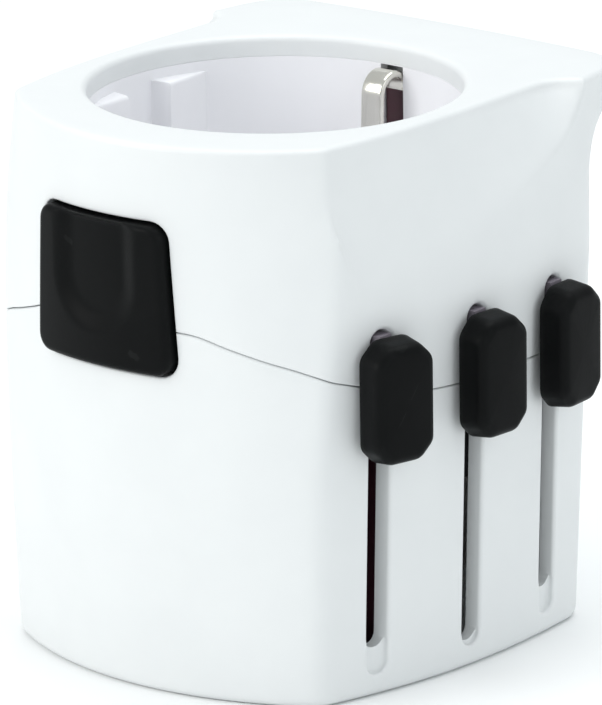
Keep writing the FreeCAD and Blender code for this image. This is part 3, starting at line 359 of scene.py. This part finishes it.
def moulded_skin():
    """Skin of a moulded part: fine spark texture over a faint flow waviness, with rubbed patches."""
    group, given, out = new_group(
        "moulded_skin",
        (("Grain Scale", 5200.0), ("Wave Scale", 160.0), ("Roughness", 0.4), ("Spread", 0.08)),
        ("Height", "Roughness", "Rub"))
    nodes, link = group.nodes, group.links.new
    coords = nodes.new("ShaderNodeTexCoord")

    def noise(scale_socket, detail):
        texture = nodes.new("ShaderNodeTexNoise")
        texture.inputs["Detail"].default_value = detail
        link(coords.outputs["Object"], texture.inputs["Vector"])
        link(scale_socket, texture.inputs["Scale"])
        return texture.outputs["Fac"]

    def math_node(operation, a, b, c=None):
        node = nodes.new("ShaderNodeMath")
        node.operation = operation
        for socket, value in zip(node.inputs, (a, b, c)):
            if value is None:
                continue
            if isinstance(value, float):
                socket.default_value = value
            else:
                link(value, socket)
        return node.outputs[0]

    grain = noise(given.outputs["Grain Scale"], 3.0)
    wave = noise(given.outputs["Wave Scale"], 1.0)
    link(math_node("MULTIPLY_ADD", wave, 1.2, grain), out.inputs["Height"])
    patch_scale = math_node("MULTIPLY", given.outputs["Wave Scale"], 0.7)
    patch = nodes.new("ShaderNodeMapRange")
    patch.inputs["From Min"].default_value = 0.35
    patch.inputs["From Max"].default_value = 0.7
    link(noise(patch_scale, 4.0), patch.inputs["Value"])
    link(patch.outputs[0], out.inputs["Rub"])
    centred = math_node("SUBTRACT", patch.outputs[0], 0.5)
    spread = math_node("MULTIPLY", centred, given.outputs["Spread"])
    fine = math_node("MULTIPLY_ADD", grain, 0.1, spread)
    link(math_node("ADD", given.outputs["Roughness"], fine), out.inputs["Roughness"])
    return group


def edge_wear():
    """Mask of the outer edges that fingers polish, broken up by a fine noise."""
    group, given, out = new_group(
        "edge_wear", (("Low", 0.51), ("High", 0.56), ("Breakup Scale", 900.0)), ("Mask",))
    nodes, link = group.nodes, group.links.new
    shape = nodes.new("ShaderNodeNewGeometry")
    sharp = nodes.new("ShaderNodeMapRange")
    link(shape.outputs["Pointiness"], sharp.inputs["Value"])
    link(given.outputs["Low"], sharp.inputs["From Min"])
    link(given.outputs["High"], sharp.inputs["From Max"])
    coords = nodes.new("ShaderNodeTexCoord")
    broken = nodes.new("ShaderNodeTexNoise")
    broken.inputs["Detail"].default_value = 4.0
    link(coords.outputs["Object"], broken.inputs["Vector"])
    link(given.outputs["Breakup Scale"], broken.inputs["Scale"])
    both = nodes.new("ShaderNodeMath")
    both.operation = "MULTIPLY"
    link(sharp.outputs[0], both.inputs[0])
    link(broken.outputs["Fac"], both.inputs[1])
    link(both.outputs[0], out.inputs["Mask"])
    return group


SKIN = moulded_skin()
WEAR = edge_wear()


def moulded(name, colour, rubbed, roughness, grain=5200.0, bump=0.06, spread=0.08, wear=None, **constants):
    """Moulded plastic: the shared skin, a little colour change where it is rubbed, and worn edges."""
    material = bpy.data.materials.new(name)
    material.use_nodes = True
    nodes, link = material.node_tree.nodes, material.node_tree.links.new
    shader = nodes["Principled BSDF"]
    skin = nodes.new("ShaderNodeGroup")
    skin.node_tree = SKIN
    skin.inputs["Grain Scale"].default_value = grain
    skin.inputs["Roughness"].default_value = roughness
    skin.inputs["Spread"].default_value = spread
    tint = nodes.new("ShaderNodeMix")
    tint.data_type = "RGBA"
    tint.inputs["A"].default_value = (*colour, 1)
    tint.inputs["B"].default_value = (*rubbed, 1)
    link(skin.outputs["Rub"], tint.inputs["Factor"])
    surface = tint.outputs["Result"]
    rough = skin.outputs["Roughness"]
    if wear:
        mask = nodes.new("ShaderNodeGroup")
        mask.node_tree = WEAR
        polished = nodes.new("ShaderNodeMix")
        polished.data_type = "RGBA"
        polished.inputs["B"].default_value = (*wear, 1)
        link(mask.outputs["Mask"], polished.inputs["Factor"])
        link(surface, polished.inputs["A"])
        surface = polished.outputs["Result"]
        gloss = nodes.new("ShaderNodeMath")
        gloss.operation = "MULTIPLY_ADD"
        gloss.inputs[1].default_value = -0.12
        link(mask.outputs["Mask"], gloss.inputs[0])
        link(rough, gloss.inputs[2])
        rough = gloss.outputs[0]
    link(surface, shader.inputs["Base Color"])
    link(rough, shader.inputs["Roughness"])
    relief = nodes.new("ShaderNodeBump")
    relief.inputs["Strength"].default_value = bump
    relief.inputs["Distance"].default_value = 0.00005
    link(skin.outputs["Height"], relief.inputs["Height"])
    link(relief.outputs["Normal"], shader.inputs["Normal"])
    for socket, value in constants.items():
        shader.inputs[socket.replace("_", " ")].default_value = value
    return material


def finish_piece(piece, material, body, slot, *nodes):
    """Gives a modelled piece its finish, its body and the CAD nodes that it stands for."""
    piece.data.materials.clear()
    piece.data.materials.append(material)
    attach(piece, body)
    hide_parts(*nodes)


def refinish(material, *nodes):
    """A better finish for CAD nodes whose shape is right."""
    for node in nodes:
        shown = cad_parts[node]
        shown.data.materials.clear()
        shown.data.materials.append(material)


housing_white = moulded("housing_white", (0.755, 0.775, 0.778), (0.735, 0.755, 0.76), 0.42, bump=0.05)
lower_shell = wind("lower_housing_shell", lower_rings(), "closed")
for i in range(3):
    apply_cut(lower_shell, slot_cutter(i))
    apply_cut(lower_shell, groove_cutter(i))
apply_cut(lower_shell, button_cutter())
smooth(lower_shell, 40)
finish_piece(lower_shell, housing_white, "housing", "housing_white", "lower_housing")


# ==== Base plate and fasteners =================================================================
# A white ABS plate closes the underside, with an opening for each pin. Four small steel screws
# hold it to bosses in the tray. Three ground steel rods stand on it and guide the carriages.
base_white = moulded("base_white", (0.78, 0.80, 0.80), (0.74, 0.76, 0.77), 0.48, bump=0.08)


def metal(name, colour, stained, roughness, scratches=1400.0, bump=0.05):
    """Metal: fine drawing marks along the piece, and faint handling stains in colour and gloss."""
    material = bpy.data.materials.new(name)
    material.use_nodes = True
    nodes, link = material.node_tree.nodes, material.node_tree.links.new
    shader = nodes["Principled BSDF"]
    shader.inputs["Metallic"].default_value = 1.0
    coords = nodes.new("ShaderNodeTexCoord")
    run = nodes.new("ShaderNodeMapping")
    run.inputs["Scale"].default_value = (1.0, 1.0, 0.05)
    link(coords.outputs["Object"], run.inputs["Vector"])
    marks = nodes.new("ShaderNodeTexNoise")
    marks.inputs["Scale"].default_value = scratches
    marks.inputs["Detail"].default_value = 5.0
    link(run.outputs[0], marks.inputs["Vector"])
    stains = nodes.new("ShaderNodeTexNoise")
    stains.inputs["Scale"].default_value = 240.0
    stains.inputs["Detail"].default_value = 5.0
    link(coords.outputs["Object"], stains.inputs["Vector"])
    tint = nodes.new("ShaderNodeMix")
    tint.data_type = "RGBA"
    tint.inputs["A"].default_value = (*colour, 1)
    tint.inputs["B"].default_value = (*stained, 1)
    link(stains.outputs["Fac"], tint.inputs["Factor"])
    link(tint.outputs["Result"], shader.inputs["Base Color"])
    gloss = nodes.new("ShaderNodeMapRange")
    gloss.inputs["To Min"].default_value = roughness - 0.06
    gloss.inputs["To Max"].default_value = roughness + 0.1
    link(stains.outputs["Fac"], gloss.inputs["Value"])
    link(gloss.outputs[0], shader.inputs["Roughness"])
    relief = nodes.new("ShaderNodeBump")
    relief.inputs["Strength"].default_value = bump
    relief.inputs["Distance"].default_value = 0.00003
    link(marks.outputs["Fac"], relief.inputs["Height"])
    link(relief.outputs["Normal"], shader.inputs["Normal"])
    return material


steel = metal("steel", (0.55, 0.55, 0.56), (0.42, 0.42, 0.43), 0.32)
refinish(base_white, "base_plate")
refinish(steel, "base_screws", "guide_rods")


# ==== Electrics inside the housings ============================================================
# Tinned brass strips carry the contacts, a ceramic fuse sits in spring clips, and a maroon
# thermoset partition keeps the earth clip apart from the live parts. All are pushed into ribs.
brass = metal("brass_strip", (0.72, 0.55, 0.28), (0.55, 0.42, 0.22), 0.3)
maroon_plastic = moulded("maroon_plastic", (0.042, 0.006, 0.014), (0.03, 0.004, 0.01), 0.5)
fuse_ceramic = moulded("fuse_ceramic", (0.62, 0.6, 0.55), (0.55, 0.53, 0.48), 0.35)
refinish(brass, "line_contact", "neutral_contact", "earth_bridge")
refinish(maroon_plastic, "insulating_partition")
refinish(fuse_ceramic, "fuse_tube")
refinish(steel, "fuse_caps", "fuse_clips")


# ==== Carriages and plug pins ==================================================================
# Each plug set rides on its own lavender grey PBT carriage. The pins are nickel-plated brass, with
# black sleeves moulded round the live ones, and the two flat blades turn in hubs.
carriage_grey = moulded("carriage_grey", (0.24, 0.215, 0.25), (0.2, 0.18, 0.215), 0.5)
sleeve_black = moulded("sleeve_black", (0.018, 0.018, 0.019), (0.026, 0.026, 0.027), 0.45)
nickel_pin = metal("nickel_pin", (0.72, 0.70, 0.66), (0.6, 0.58, 0.55), 0.2)
refinish(carriage_grey, "euro_carriage", "us_carriage", "uk_carriage")
refinish(sleeve_black, "euro_pin_sleeves", "uk_pin_sleeves")
refinish(nickel_pin, "euro_pins", "us_blade_left", "us_blade_right", "uk_live_pins", "uk_earth_pin")


# ==== Slider knobs =============================================================================
# Three soft black knobs of moulded TPE over ABS, pressed on the carriages' necks. Each is an
# upright block with cut corners, sides that taper a little, and a flat front with a round edge.
KNOB_WIDTH, KNOB_HEIGHT, KNOB_TOP, KNOB_PROUD, KNOB_STAND = 7.7, 13.3, 39.4, 3.4, 0.72
KNOB_CUT, KNOB_CORNER, KNOB_EDGE = 1.8, 1.6, 1.0
KNOB_TAPER_WIDE, KNOB_TAPER_TALL = 0.05, 0.07


def knob(name, y):
    back = float(side_surface(np.array(y), KNOB_TOP)) + KNOB_STAND
    radius = SIDE_RADIUS if y < WIDEST_Y else SIDE_RADIUS_REAR
    turn = math.asin((WIDEST_Y - y) / radius)
    half, top, foot = KNOB_WIDTH / 2, KNOB_TOP, KNOB_TOP - KNOB_HEIGHT
    cut = KNOB_CUT
    corners = [(-half + cut, foot), (half - cut, foot), (half, foot + cut), (half, top - cut),
               (half - cut, top), (-half + cut, top), (-half, top - cut), (-half, foot + cut)]
    middle = (top + foot) / 2

    def ring(out, grow, scale=1.0):
        points = rounded(corners, KNOB_CORNER, grow, 0.7, 4)
        u = points[:, 0] * (1 - KNOB_TAPER_WIDE * out / KNOB_PROUD) * scale
        v = (points[:, 1] - middle) * (1 - KNOB_TAPER_TALL * out / KNOB_PROUD) * scale
        out = out - 0.12 * scale ** 2
        return np.stack([back + out * math.cos(turn) + u * math.sin(turn),
                         y - out * math.sin(turn) + u * math.cos(turn), middle + v], 1)

    rings = [ring(0.12, -0.25), ring(0.2, -0.06), ring(0.42, 0.0)]
    rings += [ring(lerp(0.42, KNOB_PROUD - KNOB_EDGE, k / 4), 0.0) for k in range(1, 4)]
    for a in quarter(7):
        rings.append(ring(KNOB_PROUD - KNOB_EDGE * (1 - math.sin(a)), -KNOB_EDGE * (1 - math.cos(a))))
    rings += [ring(KNOB_PROUD, -KNOB_EDGE, s) for s in (0.9, 0.75, 0.55, 0.35, 0.15)]
    return wind(name, rings, "capped")


black_plastic = moulded("black_plastic", (0.0035, 0.004, 0.0042), (0.005, 0.0055, 0.0057), 0.38, grain=4200.0,
                        bump=0.16, spread=0.1, wear=(0.012, 0.013, 0.013), Specular_IOR_Level=0.06)
for plug, y in zip(("euro", "us", "uk"), SLOT_Y):
    slider = knob(plug + "_knob_grip", y)
    smooth(slider, 50)
    finish_piece(slider, black_plastic, plug + "_carriage", "black_plastic", plug + "_knob")


# ==== Lock bar and spring ======================================================================
# The button pushes a black acetal bar rearwards under the socket, against a small steel spring.
# The bar drops into the housing's ribs before the upper housing goes on.
lock_black = moulded("lock_black", (0.02, 0.02, 0.021), (0.026, 0.026, 0.027), 0.38)
refinish(lock_black, "lock_bar")
refinish(steel, "lock_spring")


# ==== Socket cup ===============================================================================
# The recess for an earthed plug: a cup of white PBT with a faint lavender cast, moulded in one with
# four keys, dropped into the upper housing. Its floor has the two pin holes.
SOCKET_RADIUS, SOCKET_DEPTH, CUP_WALL, CUP_FLOOR = 19.75, 17.5, 1.2, 2.0
CUP_TOP = 57.4
KEY_CHORD, KEY_NEAR, KEY_FAR, KEY_TOP, KEY_EDGE = 17.2, 3.2, 9.4, 56.2, 0.5
PIN_HOLE, PIN_PITCH = 2.8, 19.0
CLIP_SLOT_HALF, CLIP_SLOT_TOP = 1.5, 57.3


def cup_quarter():
    """Angles of a quarter of the cup's wall, close together at both sides of a key."""
    near, far = math.asin(KEY_NEAR / SOCKET_RADIUS), math.asin(KEY_FAR / SOCKET_RADIUS)
    step = 0.004
    stations = [0.0, near - 10 * step, near + 14 * step, far - 8 * step, far + 8 * step, math.pi / 2]
    counts = (6, 24, 14, 14, 20)
    stretches = zip(stations, stations[1:], counts)
    return np.concatenate([np.linspace(a, b, n, endpoint=False) for a, b, n in stretches])


def cup_ring(key, z):
    """The cup's inner wall at a height. Key runs from 0, a plain circle, to 1, the keys' full section."""
    first = cup_quarter()
    angle = np.concatenate([first, [math.pi / 2], (math.pi - first[::-1])])[:-1]
    angle = np.concatenate([angle, angle + math.pi])
    x, y = SOCKET_RADIUS * np.cos(angle), SOCKET_RADIUS * np.sin(angle)
    past_near = np.clip((np.abs(y) - KEY_NEAR) / KEY_EDGE + 0.5, 0, 1)
    before_far = np.clip((KEY_FAR - np.abs(y)) / KEY_EDGE + 0.5, 0, 1)
    side = past_near * before_far
    side = side * side * (3 - 2 * side)
    depth = np.maximum(np.abs(x) - KEY_CHORD, 0) * side * key
    return np.stack([x - np.sign(x) * depth, y, np.full(len(x), z)], 1)


def cup_rings():
    outer = SOCKET_RADIUS + CUP_WALL
    low = HEIGHT - SOCKET_DEPTH - CUP_FLOOR
    floor = HEIGHT - SOCKET_DEPTH
    plain = cup_ring(0, 0)[:, :2] / SOCKET_RADIUS

    def circle(radius, z):
        return np.concatenate([plain * radius, np.full((len(plain), 1), z)], 1)

    rings = [circle(r, low) for r in (0.6, 8.0, outer - 0.4)]
    rings += [circle(outer, low + 0.4), circle(outer, CUP_TOP), circle(SOCKET_RADIUS + 0.1, CUP_TOP)]
    rings += [circle(SOCKET_RADIUS, CUP_TOP - 0.1), cup_ring(0, KEY_TOP + 0.3), cup_ring(0, KEY_TOP + 0.02)]
    for a in quarter(5):
        rings.append(cup_ring(0.84 + 0.16 * math.sin(a), KEY_TOP - KEY_EDGE * (1 - math.cos(a))))
    rings += [cup_ring(1, lerp(KEY_TOP - KEY_EDGE, floor + 0.5, k / 8)) for k in range(1, 9)]
    last = cup_ring(1, floor)
    inward = 1 - 0.5 / np.hypot(last[:, 0], last[:, 1])[:, None]
    rings.append(np.concatenate([last[:, :2] * (1 + inward) / 2, np.full((len(last), 1), floor + 0.15)], 1))
    rings.append(np.concatenate([last[:, :2] * inward, last[:, 2:]], 1))
    rings += [circle(r, floor) for r in (14.0, 8.0, 0.6)]
    return rings


def round_bar(name, radius, x, y, z, vertices=48):
    """Round cutter between two heights."""
    bpy.ops.object.select_all(action="DESELECT")
    bpy.ops.mesh.primitive_cylinder_add(vertices=vertices, radius=radius * MM, depth=(z[1] - z[0]) * MM,
                                        location=(x * MM, y * MM, (z[0] + z[1]) / 2 * MM))
    bar = bpy.context.active_object
    bar.name = name
    bpy.ops.object.transform_apply(location=True, rotation=True, scale=True)
    return bar


def block(name, x, y, z):
    """Square cutter between three pairs of places."""
    bpy.ops.object.select_all(action="DESELECT")
    middle = [(a + b) / 2 * MM for a, b in (x, y, z)]
    bpy.ops.mesh.primitive_cube_add(size=1, location=middle, scale=[(b - a) * MM for a, b in (x, y, z)])
    bar = bpy.context.active_object
    bar.name = name
    bpy.ops.object.transform_apply(location=True, rotation=True, scale=True)
    return bar


# The cup is painted a lighter white than the housing, as painted light that lifts the shade in the deep
# recess; only the faint lavender cast is the part's own colour.
socket_white = moulded("socket_white", (0.86, 0.86, 0.885), (0.845, 0.845, 0.87), 0.36, bump=0.04)
cup = wind("socket_cup", cup_rings(), "capped")
for sign in (-1, 1):
    apply_cut(cup, round_bar("pin_hole", PIN_HOLE, sign * PIN_PITCH / 2, 0, (38, 44)))
    y = sorted((sign * 14.8, sign * 23.0))
    apply_cut(cup, block("clip_slot", (-CLIP_SLOT_HALF, CLIP_SLOT_HALF), y, (38, CLIP_SLOT_TOP)))
smooth(cup, 35)
finish_piece(cup, socket_white, "housing", "socket_white", "socket_insert")


# ==== Earth clips ==============================================================================
# Nickel-plated spring strip, 2.5 mm wide, bent like a walking stick: the back leg is riveted to the
# earth bridge and the front leg springs out of the cup's slot to touch the side of the plug. The
# back leg has a sheath of maroon insulation.
CLIP_HALF_WIDTH, CLIP_THICK, CLIP_EDGE = 1.4, 0.8, 0.3
CLIP_BACK, CLIP_FRONT_TOP, CLIP_FRONT_FOOT = 21.1, 16.0, 15.3
CLIP_ARCH_TOP, CLIP_FOOT_Z = 57.1, 36.0
SHEATH_BEHIND, SHEATH_TOP = 19.9, 54.6


def clip_rings(sign):
    """Sections of the strip along its bend, from the foot of the back leg to the foot of the front one."""
    arch = (CLIP_BACK - CLIP_FRONT_TOP) / 2
    spring_z = CLIP_ARCH_TOP - arch
    middle = (CLIP_BACK + CLIP_FRONT_TOP) / 2
    path = [(CLIP_BACK, lerp(CLIP_FOOT_Z, spring_z, k / 8), 1.0, 0.0) for k in range(8)]
    for k in range(25):
        a = math.pi * k / 24
        path.append((middle + arch * math.cos(a), spring_z + arch * math.sin(a), math.cos(a), math.sin(a)))
    lean = math.atan2(CLIP_FRONT_TOP - CLIP_FRONT_FOOT, spring_z - CLIP_FOOT_Z)
    for k in range(1, 10):
        t = k / 9
        path.append((lerp(CLIP_FRONT_TOP, CLIP_FRONT_FOOT, t), lerp(spring_z, CLIP_FOOT_Z, t),
                     -math.cos(lean), math.sin(lean)))
    half = CLIP_THICK / 2
    section = rounded([(-CLIP_HALF_WIDTH, -half), (CLIP_HALF_WIDTH, -half), (CLIP_HALF_WIDTH, half),
                       (-CLIP_HALF_WIDTH, half)], CLIP_EDGE, 0.0, 0.8, 4)
    rings = []
    for y, z, out_y, out_z in path:
        deep = section[:, 1] - half
        rings.append(np.stack([section[:, 0], sign * (y + out_y * deep), z + out_z * deep], 1))
    return rings


nickel_strip = metal("nickel_strip", (0.78, 0.76, 0.70), (0.68, 0.66, 0.60), 0.16)
for sign, node in ((-1, "earth_clip_front"), (1, "earth_clip_rear")):
    clip = wind(node + "_strip", clip_rings(sign), "capped")
    smooth(clip, 50)
    finish_piece(clip, nickel_strip, "housing", "nickel_strip", node)
    clip.data.materials.append(maroon_plastic)
    for face in clip.data.polygons:
        if abs(face.center.y) > SHEATH_BEHIND * MM and face.center.z < SHEATH_TOP * MM:
            face.material_index = 1


# ==== Upper housing ============================================================================
# The white cover: a flat top with the round socket mouth, a shallow finger scoop in each side and a
# lip swept out at the rear. It clips over the tray's tongue and meets it in a fine seam.
TOP_EDGE, MOUTH_EDGE, TOP_PLATE = 0.65, 0.7, 2.2
SWEEP_START, SWEEP_RADIUS, LIP_REACH, LIP_CORNER = 48.4, 7.2, 30.9, 6.0
LIP_EDGE, LIP_BOW_RADIUS = 1.0, 252.2
SCOOP_STATION = (-18.0, -5.0, 8.0, 18.0)
SCOOP_TOP = (20.6, 22.2, 22.2, 21.8)
SCOOP_FOOT_Z = (45.0, 46.9, 50.5, 55.6)
SCOOP_STEP_Y, SCOOP_STEP_LEAN, SCOOP_STEP_FILLET = -19.6, 0.247, 0.6
SCOOP_WALL_Y, SCOOP_WALL_FILLET = 16.2, 4.0
SCOOP_SOFT = 0.3
CUP_SEAT = 21.1
MOUTH_LEAD, MOUTH_LEAD_FROM, MOUTH_LEAD_TO = 0.2, 15.0, 20.6


def fillet_rise(near, radius):
    """How far a round inner corner stands up, near being the distance run into it."""
    run = np.clip(near, 0, radius * 0.96)
    rise = radius - np.sqrt(radius ** 2 - run ** 2)
    slope = 0.96 / math.sqrt(1 - 0.96 ** 2)
    return rise + np.maximum(near - radius * 0.96, 0) * slope


def scooped(x, y, z, sink=0.0):
    """Takes the finger scoop out of the +X side. With sink it gives the wall's inner face."""
    top = np.polyval(np.polyfit(SCOOP_STATION, SCOOP_TOP, 3), y)
    foot_z = np.polyval(np.polyfit(SCOOP_STATION, SCOOP_FOOT_Z, 3), y)
    foot_x = side_surface(y, foot_z)
    panel = top + (foot_x - top) * (HEIGHT - z) / (HEIGHT - foot_z) - sink
    step_y = SCOOP_STEP_Y + SCOOP_STEP_LEAN * (HEIGHT - z) - sink
    panel = panel + fillet_rise(step_y + SCOOP_STEP_FILLET - y, SCOOP_STEP_FILLET)
    panel = panel + fillet_rise(y - SCOOP_WALL_Y - sink, SCOOP_WALL_FILLET)
    depth = np.where((y > -24) & (y < 22), x - panel, -9)
    soft = np.clip(SCOOP_SOFT - np.abs(depth), 0, None) / SCOOP_SOFT
    return x - np.maximum(depth, 0) - soft ** 2 * SCOOP_SOFT / 4


def inset_ring(ring, distance):
    """Moves a ring's points inwards, square to its outline."""
    run = np.roll(ring, -1, 0) - np.roll(ring, 1, 0)
    run = run[:, :2] / np.hypot(run[:, 0], run[:, 1])[:, None]
    moved = ring.copy()
    moved[:, 0] -= run[:, 1] * distance
    moved[:, 1] += run[:, 0] * distance
    return moved


def upper_rings():
    seam = seam_height() + SEAM_OPEN
    rings = []

    def outer(z, reach, corner=REAR_CORNER, share=0.0, inset=0.0):
        x, y = half_plan(z, reach, corner, inset, share / (2 * LIP_BOW_RADIUS))
        return whole_ring(scooped(x, y, z), y, z)

    def inner(z):
        x, y = half_plan(z, rear_reach(z), REAR_CORNER, WALL)
        ring = whole_ring(scooped(x, y, z, WALL), y, z)
        radius = np.hypot(ring[:, 0], ring[:, 1])
        room = np.where(ring[:, 2] > 39.5, np.maximum(CUP_SEAT / radius, 1), 1)
        ring[:, :2] *= room[:, None]
        return ring

    rings.append(inner(seam))
    for a in quarter(3)[::-1]:
        x, y = half_plan(seam, rear_reach(seam), REAR_CORNER, SEAM_EDGE * (1 - math.cos(a)))
        rings.append(whole_ring(x, y, seam + SEAM_EDGE * (1 - math.sin(a))))
    for k in range(1, 25):
        z = lerp(seam + SEAM_EDGE, SWEEP_START, k / 24)
        rings.append(outer(z, rear_reach(z)))
    fillet_z = SWEEP_START + math.sqrt((SWEEP_RADIUS + LIP_EDGE) ** 2 - LIP_EDGE ** 2)
    last = math.acos(LIP_EDGE / (SWEEP_RADIUS + LIP_EDGE))
    for k in range(1, 17):
        a = last * k / 16
        share = 1 - math.cos(a)
        rings.append(outer(SWEEP_START + SWEEP_RADIUS * math.sin(a), LIP_REACH - SWEEP_RADIUS * math.cos(a),
                           lerp(REAR_CORNER, LIP_CORNER, share), share))
    for k in range(1, 6):
        a = last * (1 - k / 5)
        share = 1 - (1 - math.cos(a)) * LIP_EDGE / SWEEP_RADIUS
        rings.append(outer(fillet_z - LIP_EDGE * math.sin(a), LIP_REACH - LIP_EDGE * (1 - math.cos(a)),
                           LIP_CORNER, share))
    for k in range(1, 5):
        rings.append(outer(lerp(fillet_z, HEIGHT - TOP_EDGE, k / 4), LIP_REACH, LIP_CORNER, 1.0))
    edge = rings[-1]
    for a in quarter(6)[1:]:
        turned = inset_ring(edge, TOP_EDGE * (1 - math.cos(a)))
        turned[:, 2] = HEIGHT - TOP_EDGE * (1 - math.sin(a))
        rings.append(turned)
    rim = rings[-1]
    rim_x, rim_y = rim[:len(rim) // 2 + 1, :2].T
    bearing = np.arctan2(rim_x, -rim_y)
    lead = np.clip((rim_y - MOUTH_LEAD_FROM) / (MOUTH_LEAD_TO - MOUTH_LEAD_FROM), 0, 1)
    fade = np.clip((math.pi - bearing) / (math.pi - bearing[rim_y < MOUTH_LEAD_TO].max()), 0, 1)
    bearing = np.maximum.accumulate(bearing + MOUTH_LEAD * lead ** 2 * (3 - 2 * lead) * fade)
    around = np.stack([np.sin(bearing), -np.cos(bearing)], 1)
    around = np.concatenate([around, around[-2:0:-1] * (-1, 1)])

    def circle(radius, z):
        return np.concatenate([around * radius, np.full((len(around), 1), z)], 1)

    mouth = circle(SOCKET_RADIUS + MOUTH_EDGE, HEIGHT)
    rings += [lerp(rim, mouth, t) for t in (0.25, 0.5, 0.75, 1.0)]
    for a in quarter(6)[1:]:
        radius = SOCKET_RADIUS + MOUTH_EDGE * (1 - math.sin(a))
        rings.append(circle(radius, HEIGHT - MOUTH_EDGE * (1 - math.cos(a))))
    under = HEIGHT - TOP_PLATE
    rings += [circle(SOCKET_RADIUS, lerp(HEIGHT - MOUTH_EDGE, under, t)) for t in (0.5, 1.0)]
    ceiling = inner(np.full_like(seam, under))
    rings += [lerp(rings[-1], ceiling, t) for t in (0.5, 1.0)]
    rings += [inner(lerp(under, seam, k / 16)) for k in range(1, 17)]
    return rings


upper_shell = wind("upper_housing_shell", upper_rings(), "closed")
for i in range(3):
    apply_cut(upper_shell, slot_cutter(i))
apply_cut(upper_shell, button_cutter())
smooth(upper_shell, 40)
finish_piece(upper_shell, housing_white, "housing", "housing_white", "upper_housing")


# ==== Release button ===========================================================================
# A black ABS cap that stands a little proud of the front, held from behind by the lock bar. It is
# bowed like the housing, with a U-shaped hollow for the thumb that runs out at its top.
BUTTON_PROUD, BUTTON_BACK, BUTTON_EDGE = 1.2, 1.8, 0.65
THUMB_RADIUS, THUMB_SLOPE, THUMB_DEPTH, THUMB_CENTRE_Z = 5.9, 2.6, 0.85, 44.6


def thumb_hollow(x, z):
    away = np.hypot(x - BUTTON_MIDDLE, np.minimum(z - THUMB_CENTRE_Z, 0))
    t = np.clip((THUMB_RADIUS - away) / THUMB_SLOPE, 0, 1)
    return THUMB_DEPTH * t * t * (3 - 2 * t)


def button_rings():
    middle = np.array((BUTTON_MIDDLE, (BUTTON_CORNERS[0][1] + BUTTON_CORNERS[2][1]) / 2))

    def ring(grow, out, scale=1.0):
        points = rounded(BUTTON_CORNERS, BUTTON_CORNER, grow, 0.55, 8)
        points = middle + (points - middle) * scale
        x, z = points.T
        face = min(max((out - BUTTON_PROUD + 0.4) / 0.4, 0), 1)
        return np.stack([x, front_surface(x, z) - out + face * thumb_hollow(x, z), z], 1)

    rings = [ring(0.0, -BUTTON_BACK, s) for s in (0.1, 0.5, 1.0)]
    rings += [ring(0.0, lerp(-BUTTON_BACK, BUTTON_PROUD - BUTTON_EDGE, k / 4)) for k in range(1, 4)]
    for a in quarter(6):
        rings.append(ring(-BUTTON_EDGE * (1 - math.cos(a)), BUTTON_PROUD - BUTTON_EDGE * (1 - math.sin(a))))
    rings += [ring(-BUTTON_EDGE, BUTTON_PROUD, 1 - 0.97 * k / 28) for k in range(1, 29)]
    return rings


button = wind("release_button_cap", button_rings(), "capped")
smooth(button, 60)
finish_piece(button, black_plastic, "release_button", "black_plastic", "release_button")


# ==== Studio ===================================================================================
# A pale floor, a pale surround and large soft lights. The key light stands to the front left, and the
# slider side is a little darker.
floor_paint = moulded("floor_paint", (0.93, 0.94, 0.94), (0.925, 0.935, 0.935), 0.7, grain=900.0, bump=0.01)
bpy.ops.object.select_all(action="DESELECT")
bpy.ops.mesh.primitive_plane_add(size=6.0, location=(0, 0, 0))
floor = bpy.context.active_object
floor.name = "studio_floor"
floor.data.materials.append(floor_paint)

world = bpy.data.worlds.new("studio_surround")
bpy.context.scene.world = world
world.use_nodes = True
world.node_tree.nodes["Background"].inputs["Color"].default_value = (0.93, 0.965, 0.98, 1)
world.node_tree.nodes["Background"].inputs["Strength"].default_value = 0.66


def soft_light(name, place, aim, size, watts, colour):
    data = bpy.data.lights.new(name, "AREA")
    data.shape = "RECTANGLE"
    data.size, data.size_y = size
    data.energy = watts
    data.color = colour
    lamp = bpy.data.objects.new(name, data)
    bpy.context.scene.collection.objects.link(lamp)
    lamp.location = place
    lamp.rotation_euler = (Vector(aim) - Vector(place)).to_track_quat("-Z", "Y").to_euler()
    return lamp


AIM = (0.0, 0.0, 0.03)
soft_light("key_front_left", (-0.35, -0.75, 0.45), AIM, (0.6, 0.5), 3.8, (1.0, 0.99, 0.97))
soft_light("fill_right", (0.8, -0.1, 0.35), AIM, (0.5, 0.6), 0.9, (0.93, 0.97, 1.0))
soft_light("top", (0.0, 0.15, 0.8), AIM, (0.7, 0.7), 3.6, (0.97, 0.99, 1.0))

AZIMUTH, ELEVATION, ROLL = math.radians(39.03), math.radians(16.94), math.radians(-0.793)
CAMERA_PLACE, LENS = (451.15, -551.62, 247.16), 359.8
level = math.cos(ELEVATION)
back = Vector((math.sin(AZIMUTH) * level, -math.cos(AZIMUTH) * level, math.sin(ELEVATION)))
right = Vector((math.cos(AZIMUTH), math.sin(AZIMUTH), 0))
up = back.cross(right)
rolled_right = right * math.cos(ROLL) + up * math.sin(ROLL)
rolled_up = up * math.cos(ROLL) - right * math.sin(ROLL)
camera_data = bpy.data.cameras.new("studio_camera")
camera = bpy.data.objects.new("studio_camera", camera_data)
bpy.context.scene.collection.objects.link(camera)
turn = Matrix((rolled_right, rolled_up, back)).transposed().to_4x4()
camera.matrix_world = Matrix.Translation(Vector(CAMERA_PLACE) * MM) @ turn
camera_data.lens = LENS
camera_data.sensor_width = 36.0
camera_data.shift_x, camera_data.shift_y = -0.0106, -0.0005
camera_data.clip_start, camera_data.clip_end = 0.05, 20.0
bpy.context.scene.camera = camera
bpy.context.scene.view_settings.view_transform = "Standard"
